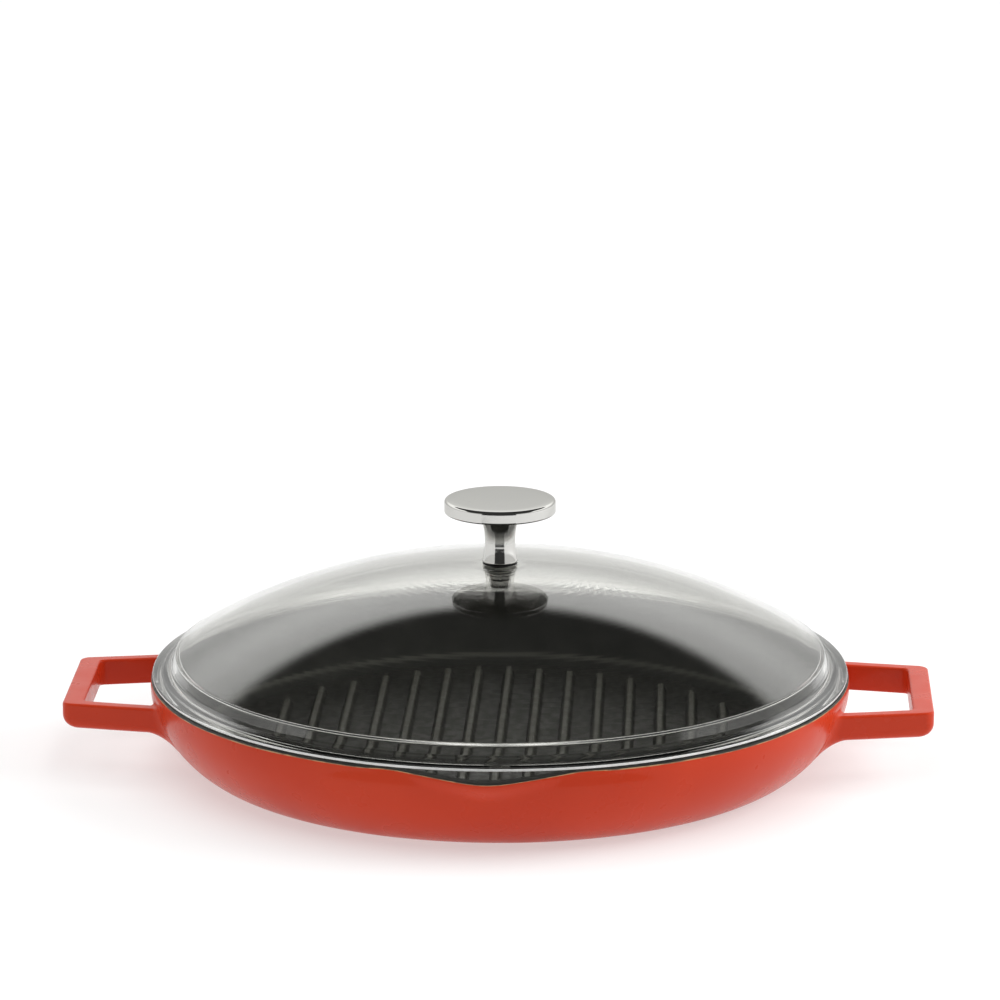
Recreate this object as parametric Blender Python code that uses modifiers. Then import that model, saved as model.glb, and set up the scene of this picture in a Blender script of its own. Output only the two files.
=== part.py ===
"""Round cast-iron grill pan with two loop handles, two spouts and a domed glass lid.

Metres, +Z up. The origin is the centre of the flat base. +X runs through the handles and +Y through the spouts.
A turned profile is a list of (radius, height) points that runs down the outer side of its piece.
"""

import math

import bmesh
import bpy

MM = 0.001
GAP = 0.3 * MM  # clearance between pieces that touch

# Pan body
RIM_RADIUS = 150.0 * MM
RIM_EDGE_Z = 36.5 * MM  # where the outer wall ends and the rim's rounding starts
RIM_CROWN = 0.8 * MM  # rise of the flat rim above that edge
RIM_CORNER = 0.25 * MM  # middle point of the rim's rounding, in from both faces
WALL_FLARE = 26.1 * MM  # how far the rim stands out past the base
WALL_BULGE = 2.6 * MM  # upper handle of the wall's curve, out from the rim
WALL_BULGE_DROP = 15.8 * MM  # the same handle, down from the rim
BASE_BLEND = 10.1 * MM  # lower handle of the wall's curve, along the base
WALL_THICKNESS = 4.6 * MM
FLOOR_THICKNESS = 5.0 * MM
WALL_POINTS = 7
PAN_STEPS = 80

# Spouts, one at each end of the Y axis
SPOUT_HALF_WIDTH = 38.0 * MM
SPOUT_OUT = 4.2 * MM
SPOUT_DIP = 2.7 * MM
SPOUT_HEIGHT = 13.0 * MM  # how far below the rim the bulge fades out
SPOUT_TIP_SOFTNESS = 0.32
SPOUT_POWER = 1.3  # above 1 draws the spout's flanks in towards its tip

# Grill ribs, parallel to Y
RIB_PITCH = 13.75 * MM
RIB_FIELD_INSET = 38.0 * MM  # from the rim to the circle that the ribs fill
RIB_HEIGHT = 3.4 * MM
RIB_TOP_WIDTH = 2.8 * MM
RIB_FOOT_WIDTH = 4.4 * MM
RIB_END_SLOPE = 4.0 * MM
RIB_ROOT = 1.2 * MM  # depth sunk into the floor
RIB_EDGE = 0.8 * MM

# Loop handles
HANDLE_REACH = 35.5 * MM  # beyond the rim
HANDLE_TOP_DROP = 5.3 * MM  # below the rim's edge
HANDLE_HEIGHT = 11.5 * MM
HANDLE_ROOT_HALF_WIDTH = 42.5 * MM  # at the rim's radius
HANDLE_TIP_HALF_WIDTH = 36.0 * MM
HANDLE_BAR = 9.0 * MM  # outer bar, along X
HANDLE_ARM = 6.2 * MM  # side arms, along Y
HANDLE_CORNER = 4.5 * MM
HANDLE_UNDER_EDGE = 6.0 * MM
HANDLE_TOP_EDGE = 1.0 * MM
HANDLE_HOLE_CORNER = 3.0 * MM
HANDLE_BURY = 22.0 * MM  # how far the block starts inside the rim before it is trimmed

# Glass lid
LID_INSET = 0.5 * MM  # from the pan's rim to the lid's edge
GLASS_THICKNESS = 3.8 * MM
GLASS_EDGE_ROUND = 1.4 * MM
FLANGE_WIDTH = 7.3 * MM
STEP_RISE = 5.6 * MM
STEP_RUN = 2.7 * MM
STEP_FOOT_RUN = 0.7 * MM  # from the flange's inner edge back to the foot of the steep part
STEP_FOOT_RISE = 0.7 * MM  # height of that foot above the flange
STEP_BLEND = 1.0 * MM  # from the flange's inner edge out to where it is flat
DOME_RISE = 38.3 * MM  # from the dome's foot to its top
SEAT_RADIUS = 11.0 * MM  # flat spot that carries the knob
LID_HOLE_RADIUS = 4.5 * MM
LIP_CLEARANCE = 1.2 * MM  # between the locating lip and the pan's wall
LIP_WIDTH = 3.2 * MM
LIP_DEPTH = 1.5 * MM
DOME_POINTS = 8
LID_STEPS = 60

# Knob
DISC_RADIUS = 23.9 * MM
DISC_THICKNESS = 5.8 * MM
DISC_TOP_EDGE = 1.3 * MM
DISC_UNDER_EDGE = 0.7 * MM
DISC_SKIN = 2.2 * MM  # metal left above the blind hole
SPIGOT_RADIUS = 5.0 * MM
SPIGOT_LENGTH = 3.0 * MM
STEM_LENGTH = 21.6 * MM
STEM_TOP_RADIUS = 8.75 * MM
STEM_WAIST_RADIUS = 6.5 * MM
STEM_BASE_RADIUS = 7.75 * MM
STEM_WAIST_SHARE = 0.38  # height of the waist, as a share of the stem
STEM_POINTS = 10
KNOB_STEPS = 40

# Fastening under the knob
SCREW_RADIUS = 2.5 * MM
SCREW_HEAD_RADIUS = 4.75 * MM
SCREW_HEAD_HEIGHT = 3.2 * MM
SCREW_HEAD_EDGE = 0.9 * MM
SCREW_TIP_CLEARANCE = 1.5 * MM  # left above the screw in its blind hole
SCREW_TIP_CHAMFER = 0.6 * MM
RECESS_SPAN = 5.0 * MM
RECESS_WIDTH = 1.2 * MM
RECESS_DEPTH = 1.7 * MM
UPPER_SEAL_THICKNESS = 0.5 * MM
UPPER_SEAL_INSET = 0.25 * MM  # from the stem's base to the seal's edge
GROMMET_FLANGE_RADIUS = 7.0 * MM
GROMMET_FLANGE_THICKNESS = 1.2 * MM
CUP_WASHER_RADIUS = 6.4 * MM
CUP_WASHER_THICKNESS = 1.2 * MM
LOCK_WASHER_RADIUS = 4.5 * MM
LOCK_WASHER_THICKNESS = 1.2 * MM
LOCK_WASHER_SPLIT = 0.8 * MM
LOCK_WASHER_SPLIT_ANGLE = math.radians(20)
LOCK_WASHER_SPLIT_RADIUS = 3.6 * MM  # middle of the cut
HARDWARE_STEPS = 24

# Heights that follow from the sizes above
RIM_TOP_Z = RIM_EDGE_Z + RIM_CROWN
FLANGE_UNDER_Z = RIM_TOP_Z + GAP
FLANGE_TOP_Z = FLANGE_UNDER_Z + GLASS_THICKNESS
DOME_FOOT_Z = FLANGE_TOP_Z + STEP_RISE
LID_RADIUS = RIM_RADIUS - LID_INSET
DOME_FOOT_RADIUS = LID_RADIUS - FLANGE_WIDTH - STEP_RUN
DOME_RADIUS = (DOME_FOOT_RADIUS**2 + DOME_RISE**2) / (2 * DOME_RISE)
DOME_CENTRE_Z = DOME_FOOT_Z + DOME_RISE - DOME_RADIUS
SEAT_Z = DOME_CENTRE_Z + math.sqrt(DOME_RADIUS**2 - SEAT_RADIUS**2)
GLASS_UNDER_Z = SEAT_Z - GLASS_THICKNESS
UPPER_SEAL_Z = SEAT_Z + GAP
STEM_Z = UPPER_SEAL_Z + UPPER_SEAL_THICKNESS + GAP
DISC_Z = STEM_Z + STEM_LENGTH + GAP
DISC_TOP_Z = DISC_Z + DISC_THICKNESS
SCREW_HOLE_RADIUS = SCREW_RADIUS + GAP
SCREW_HOLE_TOP_Z = DISC_TOP_Z - DISC_SKIN
GROMMET_Z = GLASS_UNDER_Z - GAP - GROMMET_FLANGE_THICKNESS
CUP_WASHER_Z = GROMMET_Z - GAP - CUP_WASHER_THICKNESS
LOCK_WASHER_Z = CUP_WASHER_Z - GAP - LOCK_WASHER_THICKNESS
SCREW_HEAD_TOP_Z = LOCK_WASHER_Z - GAP

SMOOTH_ANGLE = math.radians(35)
MERGE_DISTANCE = 0.01 * MM


def clear_scene():
    """Removes every object that is in the scene."""
    for obj in list(bpy.data.objects):
        bpy.data.objects.remove(obj, do_unlink=True)


def new_collection(name):
    collection = bpy.data.collections.new(name)
    bpy.context.scene.collection.children.link(collection)
    return collection


def new_material(name, colour, roughness, metallic=0.0, transmission=0.0):
    material = bpy.data.materials.new(name)
    material.use_nodes = True
    shader = material.node_tree.nodes["Principled BSDF"]
    shader.inputs["Base Color"].default_value = (*colour, 1.0)
    shader.inputs["Roughness"].default_value = roughness
    shader.inputs["Metallic"].default_value = metallic
    shader.inputs["Transmission Weight"].default_value = transmission
    return material


def add_object(name, mesh, collection, material=None):
    obj = bpy.data.objects.new(name, mesh)
    collection.objects.link(obj)
    if material:
        mesh.materials.append(material)
    return obj


def smooth(obj):
    """Rounds the shading everywhere but at real edges."""
    obj.data.shade_smooth()
    obj.data.set_sharp_from_angle(angle=SMOOTH_ANGLE)


def realised(obj):
    """Gives the object the mesh that its modifiers make."""
    graph = bpy.context.evaluated_depsgraph_get()
    mesh = bpy.data.meshes.new_from_object(obj.evaluated_get(graph))
    obj.modifiers.clear()
    obj.data = mesh
    return obj


def as_helper(obj):
    """Keeps a cutter or a joined shape out of the finished pan."""
    obj.hide_render = True
    obj.display_type = "WIRE"
    return obj


def turned(name, profile, steps, collection, material=None, closed=True):
    """A solid of revolution about Z, from a ring's closed profile or one that starts and ends on the axis."""
    mesh = bpy.data.meshes.new(name)
    count = len(profile)
    edges = [(i, i + 1) for i in range(count - 1)]
    if closed:
        edges.append((count - 1, 0))
    mesh.from_pydata([(r, 0.0, z) for r, z in profile], edges, [])
    obj = add_object(name, mesh, collection, material)
    screw = obj.modifiers.new("Turn", "SCREW")
    screw.axis = "Z"
    screw.angle = math.tau
    screw.steps = steps
    screw.render_steps = steps
    screw.use_merge_vertices = True
    screw.merge_threshold = MERGE_DISTANCE
    screw.use_smooth_shade = True
    realised(obj)
    smooth(obj)
    return obj


def boolean(obj, other, operation):
    modifier = obj.modifiers.new(other.name, "BOOLEAN")
    modifier.operation = operation
    modifier.object = other
    modifier.solver = "EXACT"


def offset_inwards(points, distances):
    """The polyline moved to the right of its direction, with mitred corners."""
    moved = []
    for i, (r, z) in enumerate(points):
        before = points[max(i - 1, 0)]
        after = points[min(i + 1, len(points) - 1)]
        first = math.atan2(z - before[1], r - before[0]) if i else None
        last = math.atan2(after[1] - z, after[0] - r) if i < len(points) - 1 else None
        first = last if first is None else first
        last = first if last is None else last
        middle = (first + last) / 2
        reach = distances[i] / math.cos((last - first) / 2)
        moved.append((r + reach * math.sin(middle), z - reach * math.cos(middle)))
    return moved


def corner_arc(centre, radius, start, end, segments=3):
    """Points on an arc in the profile's plane, angles in degrees."""
    angles = [math.radians(start + (end - start) * i / segments) for i in range(segments + 1)]
    return [(centre[0] + radius * math.cos(a), centre[1] + radius * math.sin(a)) for a in angles]


# Pan casting


def outer_wall():
    """The outer wall from the rim's edge down to the flat base, one cubic curve."""
    base_radius = RIM_RADIUS - WALL_FLARE
    start = (RIM_RADIUS, RIM_EDGE_Z)
    upper = (RIM_RADIUS + WALL_BULGE, RIM_EDGE_Z - WALL_BULGE_DROP)
    lower = (base_radius + BASE_BLEND, 0.0)
    end = (base_radius, 0.0)
    handles = (start, upper, lower, end)
    points = []
    for i in range(WALL_POINTS + 1):
        t = i / WALL_POINTS
        weights = ((1 - t) ** 3, 3 * t * (1 - t) ** 2, 3 * t * t * (1 - t), t**3)
        radius = sum(weight * handle[0] for weight, handle in zip(weights, handles))
        height = sum(weight * handle[1] for weight, handle in zip(weights, handles))
        points.append((radius, height))
    return points


def inner_wall(share=1.0):
    """The outer wall moved inwards by this share of the wall, which thickens towards the floor."""
    steps = [i / WALL_POINTS for i in range(WALL_POINTS + 1)]
    walls = [share * (WALL_THICKNESS + (FLOOR_THICKNESS - WALL_THICKNESS) * t) for t in steps]
    inner = offset_inwards(outer_wall(), walls)
    inner[-1] = (RIM_RADIUS - WALL_FLARE, share * FLOOR_THICKNESS)
    return inner


def pan_profile():
    outer = outer_wall()
    inner = inner_wall()
    rim_inner = inner[0][0]
    rim = [
        (rim_inner + RIM_CORNER, RIM_TOP_Z - RIM_CORNER),
        (rim_inner + RIM_CROWN, RIM_TOP_Z),
        (RIM_RADIUS - RIM_CROWN, RIM_TOP_Z),
        (RIM_RADIUS - RIM_CORNER, RIM_TOP_Z - RIM_CORNER),
    ]
    return [(0.0, FLOOR_THICKNESS), *reversed(inner), *rim, *outer, (0.0, 0.0)]


def spout_bell(across):
    """1 at the spout's tip and 0 from its shoulders on: a V with a rounded tip."""
    soft = SPOUT_TIP_SOFTNESS
    share = abs(across) / SPOUT_HALF_WIDTH
    if share >= 1:
        return 0.0
    slope = (math.hypot(share, soft) - soft) / (math.hypot(1, soft) - soft)
    return (1 - slope) ** SPOUT_POWER


def form_spouts(mesh):
    """Pulls the upper wall out and the rim down at both ends of the Y axis."""
    for vertex in mesh.vertices:
        x, y, z = vertex.co
        radius = math.hypot(x, y)
        share = (z - (RIM_TOP_Z - SPOUT_HEIGHT)) / SPOUT_HEIGHT
        if radius < RIM_RADIUS - WALL_FLARE or share <= 0:
            continue
        fade = share * share * (3 - 2 * share)
        amount = fade * spout_bell(RIM_RADIUS * math.asin(min(1.0, abs(x) / radius)))
        grown = 1 + SPOUT_OUT * amount / radius
        vertex.co = (x * grown, y * grown, z - SPOUT_DIP * amount)


def rib_block(name, x, half_length, collection):
    """One rib: a bar with sloped flanks and ends, sunk a little into the floor."""
    bm = bmesh.new()
    bmesh.ops.create_cube(bm, size=1.0)
    foot = RIB_FOOT_WIDTH / 2
    top = RIB_TOP_WIDTH / 2
    for vertex in bm.verts:
        upper = vertex.co.z > 0
        width = top if upper else foot
        length = half_length - RIB_END_SLOPE if upper else half_length
        vertex.co.x = x + math.copysign(width, vertex.co.x)
        vertex.co.y = math.copysign(length, vertex.co.y)
        vertex.co.z = FLOOR_THICKNESS + (RIB_HEIGHT if upper else -RIB_ROOT)
    crest = [e for e in bm.edges if all(v.co.z > FLOOR_THICKNESS for v in e.verts)]
    bmesh.ops.bevel(bm, geom=crest, offset=RIB_EDGE, segments=2, profile=0.5, affect="EDGES")
    mesh = bpy.data.meshes.new(name)
    bm.to_mesh(mesh)
    bm.free()
    return as_helper(add_object(name, mesh, collection))


def grill_ribs(collection):
    """Every rib that fits in the round field, spaced evenly from the one on the centre line."""
    field = RIM_RADIUS - RIB_FIELD_INSET
    most = int((field - RIB_PITCH / 4) / RIB_PITCH)
    ribs = []
    for i in range(-most, most + 1):
        half_length = math.sqrt(field**2 - (i * RIB_PITCH) ** 2)
        if half_length > 2 * RIB_END_SLOPE:
            ribs.append(rib_block(f"rib_{i + most + 1}", i * RIB_PITCH, half_length, collection))
    return ribs


def tapered_block(name, side, inner_x, outer_x, inset, low_z, high_z, collection):
    """A block along X whose half-width follows the handle's taper, less an inset."""
    taper = (HANDLE_ROOT_HALF_WIDTH - HANDLE_TIP_HALF_WIDTH) / HANDLE_REACH
    bm = bmesh.new()
    bmesh.ops.create_cube(bm, size=1.0)
    for vertex in bm.verts:
        x = outer_x if vertex.co.x > 0 else inner_x
        width = HANDLE_ROOT_HALF_WIDTH - taper * (x - RIM_RADIUS) - inset
        vertex.co.y = math.copysign(width, vertex.co.y)
        vertex.co.z = high_z if vertex.co.z > 0 else low_z
        vertex.co.x = side * x
    if side < 0:
        bmesh.ops.reverse_faces(bm, faces=bm.faces)
    mesh = bpy.data.meshes.new(name)
    bm.to_mesh(mesh)
    bm.free()
    return add_object(name, mesh, collection)


def bevel_edges(obj, widths, segments):
    """Rounds chosen edges, each with its own width: a list of (test on the two end points, width)."""
    widest = max(width for _, width in widths)
    weights = obj.data.attributes.new("bevel_weight_edge", "FLOAT", "EDGE")
    for edge in obj.data.edges:
        ends = [obj.data.vertices[i].co for i in edge.vertices]
        for test, width in widths:
            if test(*ends):
                weights.data[edge.index].value = width / widest
    bevel = obj.modifiers.new("Round", "BEVEL")
    bevel.limit_method = "WEIGHT"
    bevel.width = widest
    bevel.segments = segments
    bevel.use_clamp_overlap = False
    return realised(obj)


def loop_handle(name, side, core, collection):
    """One square loop: a rounded block with a finger hole, trimmed to end inside the pan's wall."""
    top_z = RIM_EDGE_Z - HANDLE_TOP_DROP
    low_z = top_z - HANDLE_HEIGHT
    inner_x = RIM_RADIUS - HANDLE_BURY
    outer_x = RIM_RADIUS + HANDLE_REACH
    block = tapered_block(name, side, inner_x, outer_x, 0.0, low_z, top_z, collection)

    def at_tip(a, b):
        return min(side * a.x, side * b.x) > RIM_RADIUS

    def upright(a, b):
        return at_tip(a, b) and abs(a.z - b.z) > HANDLE_HEIGHT / 2

    def under(a, b):
        return at_tip(a, b) and max(a.z, b.z) < (low_z + top_z) / 2

    def above(a, b):
        return min(a.z, b.z) > (low_z + top_z) / 2 and max(side * a.x, side * b.x) > RIM_RADIUS

    rounding = [(upright, HANDLE_CORNER), (under, HANDLE_UNDER_EDGE), (above, HANDLE_TOP_EDGE)]
    bevel_edges(block, rounding, 3)
    hole_span = (inner_x - HANDLE_BAR, outer_x - HANDLE_BAR)
    depth = (low_z - HANDLE_HEIGHT, top_z + HANDLE_HEIGHT)
    hole = tapered_block(f"{name}_hole", side, *hole_span, HANDLE_ARM, *depth, collection)
    bevel_edges(hole, [(upright, HANDLE_HOLE_CORNER)], 3)
    boolean(block, as_helper(hole), "DIFFERENCE")
    boolean(block, core, "DIFFERENCE")
    return as_helper(block)


def wall_core(collection):
    """The pan's inside up to the middle of its wall, which trims what is joined from outside."""
    middle = inner_wall(0.5)
    above = [(0.0, RIM_TOP_Z + HANDLE_HEIGHT), (middle[0][0], RIM_TOP_Z + HANDLE_HEIGHT)]
    profile = [*above, *middle, (0.0, middle[-1][1])]
    return as_helper(turned("wall_core", profile, PAN_STEPS, collection, closed=False))


def build_pan(parts, helpers, material):
    pan = turned("pan_casting", pan_profile(), PAN_STEPS, parts, material, closed=False)
    form_spouts(pan.data)
    core = wall_core(helpers)
    for name, side in (("handle_right", 1), ("handle_left", -1)):
        boolean(pan, loop_handle(name, side, core, helpers), "UNION")
    for rib in grill_ribs(helpers):
        boolean(pan, rib, "UNION")
    realised(pan)
    smooth(pan)
    return pan


# Glass lid


def dome_profile():
    """The lid's upper face, from the flat seat out to the flange."""
    start = math.asin(SEAT_RADIUS / DOME_RADIUS)
    end = math.asin(DOME_FOOT_RADIUS / DOME_RADIUS)
    angles = [start + (end - start) * i / DOME_POINTS for i in range(DOME_POINTS + 1)]
    arc = [(DOME_RADIUS * math.sin(a), DOME_CENTRE_Z + DOME_RADIUS * math.cos(a)) for a in angles]
    flange_inner = LID_RADIUS - FLANGE_WIDTH
    step_foot = (flange_inner - STEP_FOOT_RUN, FLANGE_TOP_Z + STEP_FOOT_RISE)
    step = [step_foot, (flange_inner + STEP_BLEND, FLANGE_TOP_Z)]
    return [(LID_HOLE_RADIUS, SEAT_Z), *arc, *step]


def flange_edge():
    """The flange's rounded outer edge, from its top face to its underside."""
    centre_r = LID_RADIUS - GLASS_EDGE_ROUND
    upper = corner_arc((centre_r, FLANGE_TOP_Z - GLASS_EDGE_ROUND), GLASS_EDGE_ROUND, 90, 0)
    lower = corner_arc((centre_r, FLANGE_UNDER_Z + GLASS_EDGE_ROUND), GLASS_EDGE_ROUND, 0, -90)
    return upper + lower


def locating_lip():
    """The ring under the flange that keeps the lid centred in the pan."""
    outer = inner_wall()[0][0] - LIP_CLEARANCE
    inner = outer - LIP_WIDTH
    chamfer = LIP_DEPTH / 3
    return [
        (outer, FLANGE_UNDER_Z),
        (outer - chamfer / 2, FLANGE_UNDER_Z - LIP_DEPTH + chamfer),
        (outer - 2 * chamfer, FLANGE_UNDER_Z - LIP_DEPTH),
        (inner + chamfer, FLANGE_UNDER_Z - LIP_DEPTH),
        (inner, FLANGE_UNDER_Z),
    ]


def build_lid(parts, material):
    upper = dome_profile()
    under = offset_inwards(upper, [GLASS_THICKNESS] * len(upper))
    profile = [*upper, *flange_edge(), *locating_lip(), *reversed(under)]
    return turned("lid_glass", profile, LID_STEPS, parts, material)


# Knob


def build_disc(parts, material):
    """The knob's flat top, with a spigot below and a blind hole for the screw."""
    top = corner_arc((DISC_RADIUS - DISC_TOP_EDGE, DISC_TOP_Z - DISC_TOP_EDGE), DISC_TOP_EDGE, 90, 0)
    under = corner_arc((DISC_RADIUS - DISC_UNDER_EDGE, DISC_Z + DISC_UNDER_EDGE), DISC_UNDER_EDGE, 0, -90, 2)
    spigot_z = DISC_Z - SPIGOT_LENGTH
    spigot = [(SPIGOT_RADIUS, DISC_Z), (SPIGOT_RADIUS, spigot_z), (SCREW_HOLE_RADIUS, spigot_z)]
    hole = [(SCREW_HOLE_RADIUS, SCREW_HOLE_TOP_Z), (0.0, SCREW_HOLE_TOP_Z)]
    profile = [(0.0, DISC_TOP_Z), *top, *under, *spigot, *hole]
    return turned("knob_disc", profile, KNOB_STEPS, parts, material, closed=False)


def stem_radius(share):
    """The stem's outer radius at this share of its height: a waist between two flares."""
    if share > STEM_WAIST_SHARE:
        flare = (share - STEM_WAIST_SHARE) / (1 - STEM_WAIST_SHARE)
        return STEM_WAIST_RADIUS + (STEM_TOP_RADIUS - STEM_WAIST_RADIUS) * flare**2
    flare = 1 - share / STEM_WAIST_SHARE
    return STEM_WAIST_RADIUS + (STEM_BASE_RADIUS - STEM_WAIST_RADIUS) * flare**2


def build_stem(parts, material):
    """The waisted spool between lid and disc, bored for the screw and counterbored for the spigot."""
    shares = [1 - i / STEM_POINTS for i in range(STEM_POINTS + 1)]
    outer = [(stem_radius(s), STEM_Z + STEM_LENGTH * s) for s in shares]
    socket_radius = SPIGOT_RADIUS + GAP
    socket_z = DISC_Z - SPIGOT_LENGTH - GAP
    bore = [(SCREW_HOLE_RADIUS, STEM_Z), (SCREW_HOLE_RADIUS, socket_z)]
    socket = [(socket_radius, socket_z), (socket_radius, STEM_Z + STEM_LENGTH)]
    return turned("knob_stem", [*outer, *bore, *socket], KNOB_STEPS, parts, material)


# Fastening


def washer(name, outer_radius, inner_radius, low_z, thickness, parts, material):
    """A flat ring with its outer edges broken a little."""
    edge = thickness / 5
    top_z = low_z + thickness
    profile = [
        (inner_radius, top_z),
        (outer_radius - edge, top_z),
        (outer_radius, top_z - edge),
        (outer_radius, low_z + edge),
        (outer_radius - edge, low_z),
        (inner_radius, low_z),
    ]
    return turned(name, profile, HARDWARE_STEPS, parts, material)


def slot_cutter(name, size, location, rotation, collection):
    """A plain block used as a cutter."""
    bm = bmesh.new()
    bmesh.ops.create_cube(bm, size=1.0)
    bmesh.ops.scale(bm, vec=size, verts=bm.verts)
    mesh = bpy.data.meshes.new(name)
    bm.to_mesh(mesh)
    bm.free()
    obj = add_object(name, mesh, collection)
    obj.location = location
    obj.rotation_euler = rotation
    return as_helper(obj)


def build_screw(parts, helpers, material):
    """Pan-head screw, driven from below by a cross recess."""
    tip_z = SCREW_HOLE_TOP_Z - SCREW_TIP_CLEARANCE
    head_z = SCREW_HEAD_TOP_Z - SCREW_HEAD_HEIGHT
    tip = [(SCREW_RADIUS - SCREW_TIP_CHAMFER, tip_z), (SCREW_RADIUS, tip_z - SCREW_TIP_CHAMFER)]
    crown = corner_arc((SCREW_HEAD_RADIUS - SCREW_HEAD_EDGE, head_z + SCREW_HEAD_EDGE), SCREW_HEAD_EDGE, 0, -90)
    neck = [(SCREW_RADIUS, SCREW_HEAD_TOP_Z), (SCREW_HEAD_RADIUS, SCREW_HEAD_TOP_Z)]
    profile = [(0.0, tip_z), *tip, *neck, *crown, (0.0, head_z)]
    screw = turned("knob_screw", profile, HARDWARE_STEPS, parts, material, closed=False)
    for name, turn in (("recess_along", 0.0), ("recess_across", math.pi / 2)):
        size = (RECESS_SPAN, RECESS_WIDTH, 2 * RECESS_DEPTH)
        boolean(screw, slot_cutter(name, size, (0, 0, head_z), (0, 0, turn), helpers), "DIFFERENCE")
    return screw


def build_grommet(parts, material):
    """Silicone collar that fills the lid's hole, with a flange under the glass."""
    collar_radius = LID_HOLE_RADIUS - GAP
    flange_top = GROMMET_Z + GROMMET_FLANGE_THICKNESS
    profile = [
        (SCREW_HOLE_RADIUS, SEAT_Z - GAP),
        (collar_radius, SEAT_Z - GAP),
        (collar_radius, flange_top),
        (GROMMET_FLANGE_RADIUS, flange_top),
        (GROMMET_FLANGE_RADIUS, GROMMET_Z),
        (SCREW_HOLE_RADIUS, GROMMET_Z),
    ]
    return turned("lid_hole_grommet", profile, HARDWARE_STEPS, parts, material)


def build_lock_washer(parts, helpers, material):
    """Split spring washer: a ring with one slanted cut."""
    size = (LOCK_WASHER_RADIUS, LOCK_WASHER_SPLIT, 4 * LOCK_WASHER_THICKNESS)
    place = (LOCK_WASHER_SPLIT_RADIUS, 0.0, LOCK_WASHER_Z + LOCK_WASHER_THICKNESS / 2)
    sizes = (LOCK_WASHER_RADIUS, SCREW_HOLE_RADIUS, LOCK_WASHER_Z, LOCK_WASHER_THICKNESS)
    ring = washer("spring_lock_washer", *sizes, parts, material)
    split = slot_cutter("split", size, place, (LOCK_WASHER_SPLIT_ANGLE, 0, 0), helpers)
    boolean(ring, split, "DIFFERENCE")
    return ring


def build_fastening(parts, helpers, steel, black_silicone, clear_silicone):
    seal_radius = STEM_BASE_RADIUS - UPPER_SEAL_INSET
    seal = (seal_radius, SCREW_HOLE_RADIUS, UPPER_SEAL_Z, UPPER_SEAL_THICKNESS)
    cup = (CUP_WASHER_RADIUS, SCREW_HOLE_RADIUS, CUP_WASHER_Z, CUP_WASHER_THICKNESS)
    washer("upper_seal_washer", *seal, parts, black_silicone)
    build_grommet(parts, clear_silicone)
    washer("screw_cup_washer", *cup, parts, steel)
    build_lock_washer(parts, helpers, steel)
    build_screw(parts, helpers, steel)


def place_on_lift_axis(parts):
    """Hangs every lid piece on one empty on the pan's axis, along which the lid lifts off."""
    lift = bpy.data.objects.new("lid_lift_axis", None)
    parts.objects.link(lift)
    for obj in list(parts.objects):
        if obj.type == "MESH" and obj.name != "pan_casting":
            obj.parent = lift


def main():
    clear_scene()
    parts = new_collection("grill_pan")
    helpers = new_collection("cutters")
    enamel = new_material("red_enamel", (0.49, 0.04, 0.02), 0.12)
    glass = new_material("clear_glass", (0.95, 0.97, 0.96), 0.02, transmission=1.0)
    polished = new_material("polished_steel", (0.62, 0.61, 0.58), 0.08, metallic=1.0)
    plain_steel = new_material("plain_steel", (0.50, 0.50, 0.49), 0.30, metallic=1.0)
    black_silicone = new_material("black_silicone", (0.015, 0.015, 0.015), 0.55)
    clear_silicone = new_material("clear_silicone", (0.70, 0.70, 0.67), 0.45)
    build_pan(parts, helpers, enamel)
    build_lid(parts, glass)
    build_disc(parts, polished)
    build_stem(parts, polished)
    build_fastening(parts, helpers, plain_steel, black_silicone, clear_silicone)
    place_on_lift_axis(parts)


main()
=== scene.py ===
"""Looks of a round enamelled grill pan with a domed glass lid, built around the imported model.

Everything is in metres in the model's own frame: the origin is the centre of the base, +Z is up, +X runs
through the loop handles and +Y through the spouts. A turned profile is a list of (radius, height) points.
"""

import logging
import math
from collections.abc import Callable
from dataclasses import dataclass, field
from enum import Enum

import bpy
import numpy as np
from mathutils import Euler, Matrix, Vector


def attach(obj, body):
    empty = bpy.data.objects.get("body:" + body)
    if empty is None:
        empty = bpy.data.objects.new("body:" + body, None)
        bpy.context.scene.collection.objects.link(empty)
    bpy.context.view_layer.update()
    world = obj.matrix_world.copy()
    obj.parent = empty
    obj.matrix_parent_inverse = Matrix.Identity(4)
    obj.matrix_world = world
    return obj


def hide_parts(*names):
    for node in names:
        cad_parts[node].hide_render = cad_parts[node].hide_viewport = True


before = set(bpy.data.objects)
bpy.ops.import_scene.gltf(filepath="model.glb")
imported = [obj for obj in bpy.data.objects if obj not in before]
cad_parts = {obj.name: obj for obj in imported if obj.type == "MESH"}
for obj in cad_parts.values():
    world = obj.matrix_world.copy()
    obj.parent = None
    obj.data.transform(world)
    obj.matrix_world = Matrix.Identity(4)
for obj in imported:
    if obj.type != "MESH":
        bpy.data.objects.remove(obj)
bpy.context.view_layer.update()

LOG = logging.getLogger("grill_pan")
MM = 0.001
FILLET_GUARD = 0.12 * MM  # a point this far beyond each end of a rounding keeps the flat beside it flat
FILLET_SHARE = 0.45  # the most of a side that a rounding takes
GUARD_SHARE = 0.04  # the most of a side that the guard takes

Point = tuple[float, float]
Colour = tuple[float, float, float]
Place = tuple[float, float, float]
Profile = list[Point]
Faces = list[tuple[int, ...]]
Piece = bpy.types.Object
Pieces = list[Piece]
Material = bpy.types.Material
Socket = bpy.types.NodeSocket


class Body(Enum):
    """The two bodies of the model that pieces ride on."""

    PAN = "pan"
    LID = "lid"


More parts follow.
